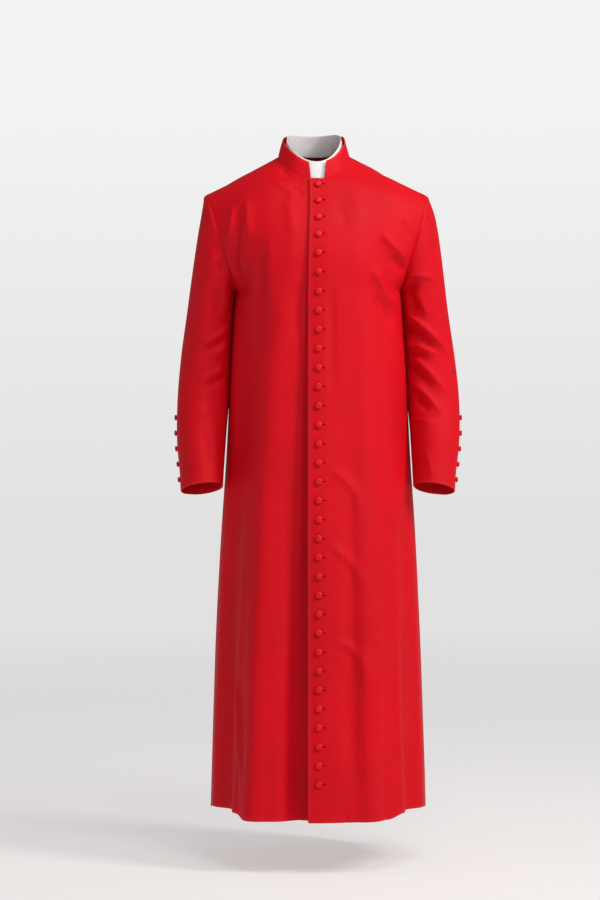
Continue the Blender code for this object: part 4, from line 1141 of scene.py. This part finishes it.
# ---- instances -----------------------------------------------------------------------------------
def instance_group(name, sizes, lay_out):
    """A geometry node group that sets a pattern on points, each turned by chance, made real and given its
    material. lay_out gives the points, the way they face, the chance turn and the scale."""
    tree = bpy.data.node_groups.new(name, "GeometryNodeTree")
    kinds = {"Geometry": "Geometry", "Pattern": "Object", **dict.fromkeys(sizes, "Float"), "Seed": "Int"}
    for socket, kind in {**kinds, "Material": "Material"}.items():
        tree.interface.new_socket(name=socket, in_out="INPUT", socket_type="NodeSocket" + kind)
    tree.interface.new_socket(name="Geometry", in_out="OUTPUT", socket_type="NodeSocketGeometry")
    given = add_node(tree, "NodeGroupInput").outputs
    outward = add_node(tree, "GeometryNodeInputNamedAttribute", {"Name": "outward"}, data_type="FLOAT_VECTOR")
    facing = add_node(tree, "FunctionNodeAlignRotationToVector", {"Vector": outward}, axis="Z")
    chance = add_node(tree, "FunctionNodeRandomValue", {"Seed": given["Seed"]}, data_type="FLOAT").outputs[1]
    points, facing, turn, scale = lay_out(tree, given, facing, chance)
    spin = add_node(tree, "FunctionNodeEulerToRotation", {0: add_node(tree, "CombineXYZ", {"Z": turn})})
    both = {"Rotation": facing, "Rotate By": spin}
    turned = add_node(tree, "FunctionNodeRotateRotation", both, rotation_space="LOCAL")
    pattern = add_node(tree, "GeometryNodeObjectInfo", {"Object": given["Pattern"]}).outputs["Geometry"]
    sized = add_node(tree, "CombineXYZ", scale)
    each = {"Points": points, "Instance": pattern, "Rotation": turned, "Scale": sized}
    placed = add_node(tree, "GeometryNodeInstanceOnPoints", each)
    real = add_node(tree, "GeometryNodeRealizeInstances", {"Geometry": placed})
    done = add_node(tree, "GeometryNodeSetMaterial", {"Geometry": real, "Material": given["Material"]})
    add_node(tree, "NodeGroupOutput", {0: done})
    return tree


def button_layout(tree, given, facing, chance):
    """Buttons on points, turned any way round and barely uneven in width."""
    points = add_node(tree, "GeometryNodeMeshToPoints", {"Mesh": given["Geometry"]})
    turn = add_node(tree, "Math", {0: chance, 1: 2 * math.pi}, operation="MULTIPLY")
    seed = add_node(tree, "FunctionNodeIntegerMath", {0: given["Seed"], 1: 7}, operation="ADD")
    other = add_node(tree, "FunctionNodeRandomValue", {"Seed": seed}, data_type="FLOAT").outputs[1]
    swing = add_node(tree, "Math", {0: other, 1: given["Unevenness"]}, operation="MULTIPLY")
    size = add_node(tree, "Math", {0: 1.0, 1: swing}, operation="SUBTRACT")
    wide = add_node(tree, "Math", {0: size, 1: given["Diameter"]}, operation="MULTIPLY")
    return points, facing, turn, {"X": wide, "Y": wide, "Z": given["Height"]}


def stitch_layout(tree, given, facing, chance):
    """Stitches set across a closed line, evenly spaced, each a little out of true."""
    line = add_node(tree, "GeometryNodeMeshToCurve", {"Mesh": given["Geometry"]})
    spaced = {"Curve": line, "Length": given["Spacing"]}
    points = add_node(tree, "GeometryNodeResampleCurve", spaced, mode="LENGTH")
    along = {"Rotation": facing, "Vector": add_node(tree, "GeometryNodeInputTangent")}
    lined = add_node(tree, "FunctionNodeAlignRotationToVector", along, axis="X", pivot_axis="Z")
    centred = add_node(tree, "Math", {0: chance, 1: 0.5}, operation="SUBTRACT")
    turn = add_node(tree, "Math", {0: centred, 1: given["Slant"]}, operation="MULTIPLY")
    thick = given["Thickness"]
    return points, lined, turn, {"X": thick, "Y": given["Length"], "Z": thick}


def stacked_mesh(name, rings, foot, top=(), inside_out=False):
    """Rings of points, each joined to the next, with the first closed onto a foot and the last onto a top."""
    sides, last = len(rings[0]), 1 + (len(rings) - 1) * len(rings[0])
    pairs = [(i, (i + 1) % sides) for i in range(sides)]
    faces = [(0, 1 + b, 1 + a) for a, b in pairs]
    for low in range(1, last, sides):
        faces += [(low + a, low + b, low + sides + b, low + sides + a) for a, b in pairs]
    faces += [(last + a, last + b, last + sides) for a, b in pairs if len(top)]
    if inside_out:
        faces = [face[:1] + face[:0:-1] for face in faces]
    mesh = bpy.data.meshes.new(name)
    mesh.from_pydata([foot, *(point for ring in rings for point in ring), *top], [], faces)
    mesh.shade_smooth()
    return mesh


def circle(radius, z, sides):
    """Points round the upright axis; the radius is one number or one for each point."""
    turns = 2 * math.pi * np.arange(sides) / sides
    return [(x, y, z) for x, y in zip(radius * np.cos(turns), radius * np.sin(turns))]


def lathe(name, profile, sides, ripple=0.0):
    """A closed round solid one unit wide and high, turned from (width, height) rows between its two poles,
    with the cloth's gathers rippling its lower edge."""
    waves = ripple * np.cos(GATHERS * 2 * math.pi * np.arange(sides) / sides)
    rings = [
        circle(wide * (1 + waves * near(tall - 0.14, 0.2)) / 2, tall, sides) for wide, tall in profile[1:-1]
    ]
    mesh = stacked_mesh(name, rings, (0.0, 0.0, profile[0][1]), [(0.0, 0.0, profile[-1][1])])
    layer = mesh.uv_layers.new(name="UVMap")
    for loop in mesh.loops:
        layer.data[loop.index].uv = mesh.vertices[loop.vertex_index].co.xy * FRONT_BUTTON[0]
    return new_object(name, mesh)


def carried_out(name, points, facings, loops, group, pattern, **values):
    """The node group run on points, each with the way it faces, and kept as a plain mesh object."""
    mesh = bpy.data.meshes.new(name + "_points")
    mesh.from_pydata([tuple(point) for point in points], loops, [])
    outward = mesh.attributes.new("outward", "FLOAT_VECTOR", "POINT")
    outward.data.foreach_set("vector", np.asarray(facings, np.float32).ravel())
    carrier = new_object(name + "_points", mesh)
    modifier = carrier.modifiers.new("instances", "NODES")
    modifier.node_group = group
    values["Pattern"] = pattern
    for item in group.interface.items_tree:
        if item.in_out == "INPUT" and item.name in values:
            modifier[item.identifier] = values[item.name]
    graph = bpy.context.evaluated_depsgraph_get()
    made = bpy.data.meshes.new_from_object(
        carrier.evaluated_get(graph), preserve_all_data_layers=True, depsgraph=graph
    )
    for old in (carrier, pattern):
        bpy.data.objects.remove(old)
    made.name = name
    if len(made.polygons) == 0:
        raise RuntimeError(f"{name} came out empty")
    return new_object(name, made)


# ---- buttons and buttonholes ---------------------------------------------------------------------
def tree_of(name):
    """The surface of a piece, for finding where a line meets it."""
    mesh = bpy.data.objects[name].data
    return BVHTree.FromPolygons([v.co for v in mesh.vertices], [tuple(p.vertices) for p in mesh.polygons])


def seated(tree, middle, outward, radius):
    """Where a flat back of this radius rests on the cloth below it, coming in from outside."""
    side = outward.orthogonal().normalized()
    rests = []
    for turn in range(0, 360, 30):
        arm = side * math.cos(math.radians(turn)) + outward.cross(side) * math.sin(math.radians(turn))
        for share in (0, 0.55, 0.8):
            hit = tree.ray_cast(middle + outward * 0.03 + arm * radius * share, -outward, 0.06)
            if hit[0] is not None:
                rests.append(0.03 - hit[3])
    if not rests:
        raise RuntimeError("a button has no cloth under it")
    return middle + outward * (sorted(rests)[-3] + 0.0001)


def set_buttons(name, nodes, cloth, size, outwards, settings):
    """A covered button on the cloth in place of each button node, facing its outward."""
    tree, points = tree_of(cloth), []
    for node, outward in zip(nodes, outwards):
        low, high = (Vector(corner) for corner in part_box(node))
        points.append(seated(tree, (low + high) / 2 - outward * 0.003, outward, size[0] / 2))
    pattern = lathe("button_pattern", BUTTON_PROFILE, 36, RIPPLE)
    group = instance_group("buttons_on_points", ("Diameter", "Height", "Unevenness"), button_layout)
    values = {"Diameter": size[0], "Height": size[1], "Unevenness": settings.button_unevenness}
    values |= {"Seed": settings.seed, "Material": cover_material(settings)}
    made = carried_out(name, points, outwards, [], group, pattern, **values)
    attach(made, "root")
    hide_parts(*nodes)


def on_cloth(tree, x, z):
    """The front cloth's outer face straight behind a place on the centre front, and the way it faces."""
    hit = tree.ray_cast(Vector((x, -0.6, z)), Vector((0, 1, 0)))
    if hit[0] is None:
        raise RuntimeError("a buttonhole misses the cloth")
    return hit[0], hit[1] if hit[1].y < 0 else -hit[1]


def build_stitches(tree, settings):
    """Buttonhole stitch: thread laid side by side across the edge of every hole."""
    points, facings, loops = [], [], []
    for x, z in HOLE_MIDDLES:
        start = len(points)
        middle, half = x + (HOLE_FROM + HOLE_TO) / 2, (HOLE_TO - HOLE_FROM) / 2
        for turn in np.radians(np.arange(0, 360, 12)):
            across = math.copysign(abs(math.cos(turn)) ** 0.45, math.cos(turn)) * half
            point, facing = on_cloth(tree, middle + across, z + math.sin(turn) * HOLE_HALF_HEIGHT)
            points.append(point + facing * STITCH_LIFT)
            facings.append(facing)
        numbers = list(range(start, len(points)))
        loops += zip(numbers, numbers[1:] + numbers[:1])
    pattern = lathe("stitch_pattern", STITCH_PROFILE, 6)
    pattern.data.transform(((1, 0, 0, 0), (0, 0, 1, 0), (0, -1, 0, 0), (0, 0, 0, 1)))
    group = instance_group("stitches_on_line", ("Spacing", "Length", "Thickness", "Slant"), stitch_layout)
    values = {"Spacing": settings.stitch_spacing, "Length": settings.stitch_length, "Seed": settings.seed}
    values |= {"Thickness": settings.stitch_thickness, "Slant": STITCH_SLANT}
    values["Material"] = silk_thread("red_buttonhole_silk", settings.thread_light, settings.thread_deep)
    return carried_out("buttonhole_stitches", points, facings, loops, group, pattern, **values)


def build_slit_shade(tree):
    """A thin dark lens lying in each worked edge: painted shade for the opening of the slit."""
    steps, around = SLIT_STEPS, SLIT_AROUND
    vertices, faces = [], []
    for x, z in HOLE_MIDDLES:
        start = len(vertices)
        for step in range(steps + 1):
            share = step / steps
            tall = SLIT_HALF_HEIGHT * math.sin(math.pi * min(max(share, 0.03), 0.97)) ** 0.6
            point, facing = on_cloth(tree, x + HOLE_FROM + share * (HOLE_TO - HOLE_FROM), z)
            up = facing.cross(Vector((1, 0, 0))).normalized()
            up = up if up.z > 0 else -up
            for turn in range(around):
                angle = 2 * math.pi * turn / around
                rise = facing * (0.00008 + 0.00012 * math.sin(angle))
                vertices.append(tuple(point + up * tall * math.cos(angle) + rise))
        for low in range(start, start + steps * around, around):
            for turn in range(around):
                after = (turn + 1) % around
                faces.append((low + turn, low + around + turn, low + around + after, low + after))
        faces.append(tuple(start + turn for turn in range(around)))
        faces.append(tuple(start + steps * around + turn for turn in reversed(range(around))))
    mesh = bpy.data.meshes.new("buttonhole_slits")
    mesh.from_pydata(vertices, [], faces)
    mesh.shade_smooth()
    # Near-black silk stands in for the slit's opening: painted shade.
    mesh.materials.append(silk_thread("buttonhole_shadow", srgb("#3A0003"), srgb("#2C0002")))
    return new_object("buttonhole_slits", mesh)


# ---- stage ---------------------------------------------------------------------------------------
def build_stage(settings):
    scene = bpy.context.scene
    widths = FLOOR_RADIUS * (np.arange(1, FLOOR_RINGS + 1) / FLOOR_RINGS) ** 2
    rings = [circle(wide, FLOOR_Z, FLOOR_SIDES) for wide in widths]
    floor = new_object("floor", stacked_mesh("floor", rings, (0.0, 0.0, FLOOR_Z), inside_out=True))
    floor.data.materials.append(studio_floor("grey_backdrop_paper"))
    tilts = math.pi * np.arange(1, DOME_RINGS) / DOME_RINGS
    sizes = zip(DOME_RADIUS * np.sin(tilts), -DOME_RADIUS * np.cos(tilts))
    rings = [circle(wide, level, DOME_SIDES) for wide, level in sizes]
    foot, top = (0.0, 0.0, -DOME_RADIUS), (0.0, 0.0, DOME_RADIUS)
    dome = new_object("backdrop", stacked_mesh("backdrop", rings, foot, [top], inside_out=True))
    dome.data.materials.append(backdrop("lit_backdrop"))
    for ray in ("diffuse", "glossy", "transmission", "shadow", "volume_scatter"):
        setattr(dome, "visible_" + ray, False)

    for lamp in LAMPS:
        light = bpy.data.lights.new(lamp.name, "AREA")
        light.shape, light.size, light.size_y = "RECTANGLE", lamp.width, lamp.height
        light.energy, light.color = lamp.power * settings.light, LAMP_COLOUR
        made = new_object(lamp.name, light)
        made.location = lamp.place
        aim = Vector((0.0, 0.0, lamp.target_z)) - Vector(lamp.place)
        made.rotation_euler = aim.to_track_quat("-Z", "Y").to_euler()

    scene.world = bpy.data.worlds.new("studio_world")
    scene.world.use_nodes = True
    shade = scene.world.node_tree.nodes["Background"]
    shade.inputs["Color"].default_value = (1.0, 1.0, 1.0, 1.0)
    shade.inputs["Strength"].default_value = WORLD_LIGHT

    lens = bpy.data.cameras.new("camera")
    lens.lens, lens.sensor_width = CAMERA_LENS, 36.0
    lens.clip_start, lens.clip_end = 0.1, 100.0
    lens.dof.use_dof = False
    scene.camera = new_object("camera", lens)
    scene.camera.location = CAMERA_AT
    scene.camera.rotation_euler = (math.radians(90), 0, 0)
    view = scene.view_settings
    view.view_transform, view.look, view.exposure, view.gamma = "Standard", "None", 0.0, 1.0
    return floor, dome


# ---- the add-on ----------------------------------------------------------------------------------
def colour_setting(name, description, code):
    return bpy.props.FloatVectorProperty(
        name=name, description=description, default=srgb(code), size=4, min=0.0, max=1.0, subtype="COLOR"
    )


class CassockSettings(bpy.types.PropertyGroup):
    cloth_light: colour_setting("Cloth", "Lighter yarns of the cloth", "#D8041A")
    cloth_deep: colour_setting("Cloth, deep", "Deeper yarns of the cloth", "#C90316")
    # The buttons' colours are painted paler than the cloth's, a painted highlight on their domes.
    button_light_painted_highlight: colour_setting("Buttons", "Lighter yarns of the buttons' covers", "#E6081E")
    button_deep_painted_highlight: colour_setting("Buttons, deep", "Deeper yarns of the buttons' covers", "#D40619")
    thread_light: colour_setting("Buttonhole silk", "Where the silk is paler", "#B80412")
    thread_deep: colour_setting("Buttonhole silk, deep", "Where the silk is deeper", "#9A0310")
    band_light: colour_setting("Band", "Where the white band is brighter", "#ECE9E8")
    band_deep: colour_setting("Band, deep", "Where the white band is duller", "#E4E0E0")
    crease_amount: bpy.props.FloatProperty(
        name="Creases", description="Strength of the creases, 1 as worn", default=1.0, min=0.0, max=2.0
    )
    seam_depth: bpy.props.FloatProperty(
        name="Seam depth", description="How far a seam draws the cloth in", default=0.0011, unit="LENGTH"
    )
    stitch_spacing: bpy.props.FloatProperty(
        name="Stitch spacing", description="Between buttonhole stitches", default=0.00085, unit="LENGTH"
    )
    stitch_length: bpy.props.FloatProperty(
        name="Stitch length", description="Depth of the buttonhole stitch", default=0.0016, unit="LENGTH"
    )
    stitch_thickness: bpy.props.FloatProperty(
        name="Thread", description="Thickness of the buttonhole thread", default=0.00070, unit="LENGTH"
    )
    button_unevenness: bpy.props.FloatProperty(
        name="Button unevenness", description="Share by which buttons differ in width", default=0.03
    )
    light: bpy.props.FloatProperty(
        name="Light", description="Strength of the soft boxes", default=1.0, min=0.0
    )
    seed: bpy.props.IntProperty(name="Seed", description="Fixes every chance detail", default=4)


def place_sheet(made, node):
    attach(made, "root")
    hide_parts(node)


class CASSOCK_OT_fronts(bpy.types.Operator):
    """Build the two fronts, the left lapping over the right"""

    bl_idname = "cassock.fronts"
    bl_label = "Fronts"

    def execute(self, context):
        left, right = (build_front(piece, side, context.scene.cassock) for piece, side in SIDES)
        place_sheet(left, "front_left")
        place_sheet(right, "front_right")
        return {"FINISHED"}


class CASSOCK_OT_back(bpy.types.Operator):
    """Build the back, in two halves with a centre seam"""

    bl_idname = "cassock.back"
    bl_label = "Back"

    def execute(self, context):
        place_sheet(build_back(context.scene.cassock), "back")
        return {"FINISHED"}


class CASSOCK_OT_sleeves(bpy.types.Operator):
    """Build the two set-in sleeves"""

    bl_idname = "cassock.sleeves"
    bl_label = "Sleeves"

    def execute(self, context):
        for side_name, side in SIDES:
            made = build_sleeve("sleeve_" + side_name, side, context.scene.cassock)
            place_sheet(made, "sleeve_" + side_name)
        return {"FINISHED"}


class CASSOCK_OT_collar(bpy.types.Operator):
    """Build the notched stand collar and the white band inside it"""

    bl_idname = "cassock.collar"
    bl_label = "Collar and band"

    def execute(self, context):
        place_sheet(build_collar(context.scene.cassock), "collar")
        place_sheet(build_band(context.scene.cassock), "collar_insert")
        return {"FINISHED"}


class CASSOCK_OT_front_buttons(bpy.types.Operator):
    """Set the covered buttons down the centre front"""

    bl_idname = "cassock.front_buttons"
    bl_label = "Front buttons"

    def execute(self, context):
        cloth, reach = tree_of("cloth_front_left"), 0.006
        around = [(reach, 0.0), (-reach, 0.0), (0.0, reach), (0.0, -reach), (0.0, 0.0)]
        outwards = []
        for x, z in HOLE_MIDDLES:
            outward = sum((on_cloth(cloth, x + dx, z + dz)[1] for dx, dz in around), Vector())
            outward.x *= 0.3
            outwards.append(outward.normalized())
        settings = context.scene.cassock
        set_buttons("front_buttons", FRONT_BUTTON_NODES, "cloth_front_left", FRONT_BUTTON, outwards, settings)
        return {"FINISHED"}


class CASSOCK_OT_cuff_buttons(bpy.types.Operator):
    """Set the five small buttons up the outside of each cuff"""

    bl_idname = "cassock.cuff_buttons"
    bl_label = "Cuff buttons"

    def execute(self, context):
        levels = CUFF_BUTTON_TOP_Z - CUFF_BUTTON_PITCH * np.arange(CUFF_BUTTONS)
        places = 1 + (SLEEVE[0].z - levels) / (SLEEVE[0].z - SLEEVE[-1].z)
        for side_name, side in SIDES:
            nodes = [f"button_cuff_{side_name}_{number}" for number in range(1, CUFF_BUTTONS + 1)]
            normals = [sleeve_normals(np.array([0.0]), along)[0] for along in places]
            outwards = [Vector((x * side, y, z)) for x, y, z in normals]
            name, cloth = "cuff_buttons_" + side_name, "cloth_sleeve_" + side_name
            set_buttons(name, nodes, cloth, CUFF_BUTTON, outwards, context.scene.cassock)
        return {"FINISHED"}


class CASSOCK_OT_buttonholes(bpy.types.Operator):
    """Work the buttonholes of the left front"""

    bl_idname = "cassock.buttonholes"
    bl_label = "Buttonholes"

    def execute(self, context):
        cloth = tree_of("cloth_front_left")
        # the stitches, and the dark lens of painted shade in each slit
        for made in (build_stitches(cloth, context.scene.cassock), build_slit_shade(cloth)):
            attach(made, "root")
        return {"FINISHED"}


class CASSOCK_OT_stage(bpy.types.Operator):
    """Set the camera, the soft light and a plain pale studio"""

    bl_idname = "cassock.stage"
    bl_label = "Studio"

    def execute(self, context):
        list(build_stage(context.scene.cassock))
        return {"FINISHED"}


OPERATORS = (
    CASSOCK_OT_fronts,
    CASSOCK_OT_back,
    CASSOCK_OT_sleeves,
    CASSOCK_OT_collar,
    CASSOCK_OT_front_buttons,
    CASSOCK_OT_cuff_buttons,
    CASSOCK_OT_buttonholes,
    CASSOCK_OT_stage,
)


class CASSOCK_PT_panel(bpy.types.Panel):
    bl_idname = "CASSOCK_PT_panel"
    bl_label = "Cassock"
    bl_space_type = "VIEW_3D"
    bl_region_type = "UI"
    bl_category = "Cassock"

    def draw(self, context):
        for name in CassockSettings.__annotations__:
            self.layout.prop(context.scene.cassock, name)
        for operator in OPERATORS:
            self.layout.operator(operator.bl_idname)


CLASSES = (CassockSettings, *OPERATORS, CASSOCK_PT_panel)


def register():
    for kind in CLASSES:
        bpy.utils.register_class(kind)
    bpy.types.Scene.cassock = bpy.props.PointerProperty(type=CassockSettings)


def unregister():
    del bpy.types.Scene.cassock
    for kind in reversed(CLASSES):
        bpy.utils.unregister_class(kind)


def main():
    register()
    for operator in OPERATORS:
        group, name = operator.bl_idname.split(".")
        if getattr(getattr(bpy.ops, group), name)() != {"FINISHED"}:
            raise RuntimeError(f"{operator.bl_label} did not finish")


if __name__ == "__main__":
    main()
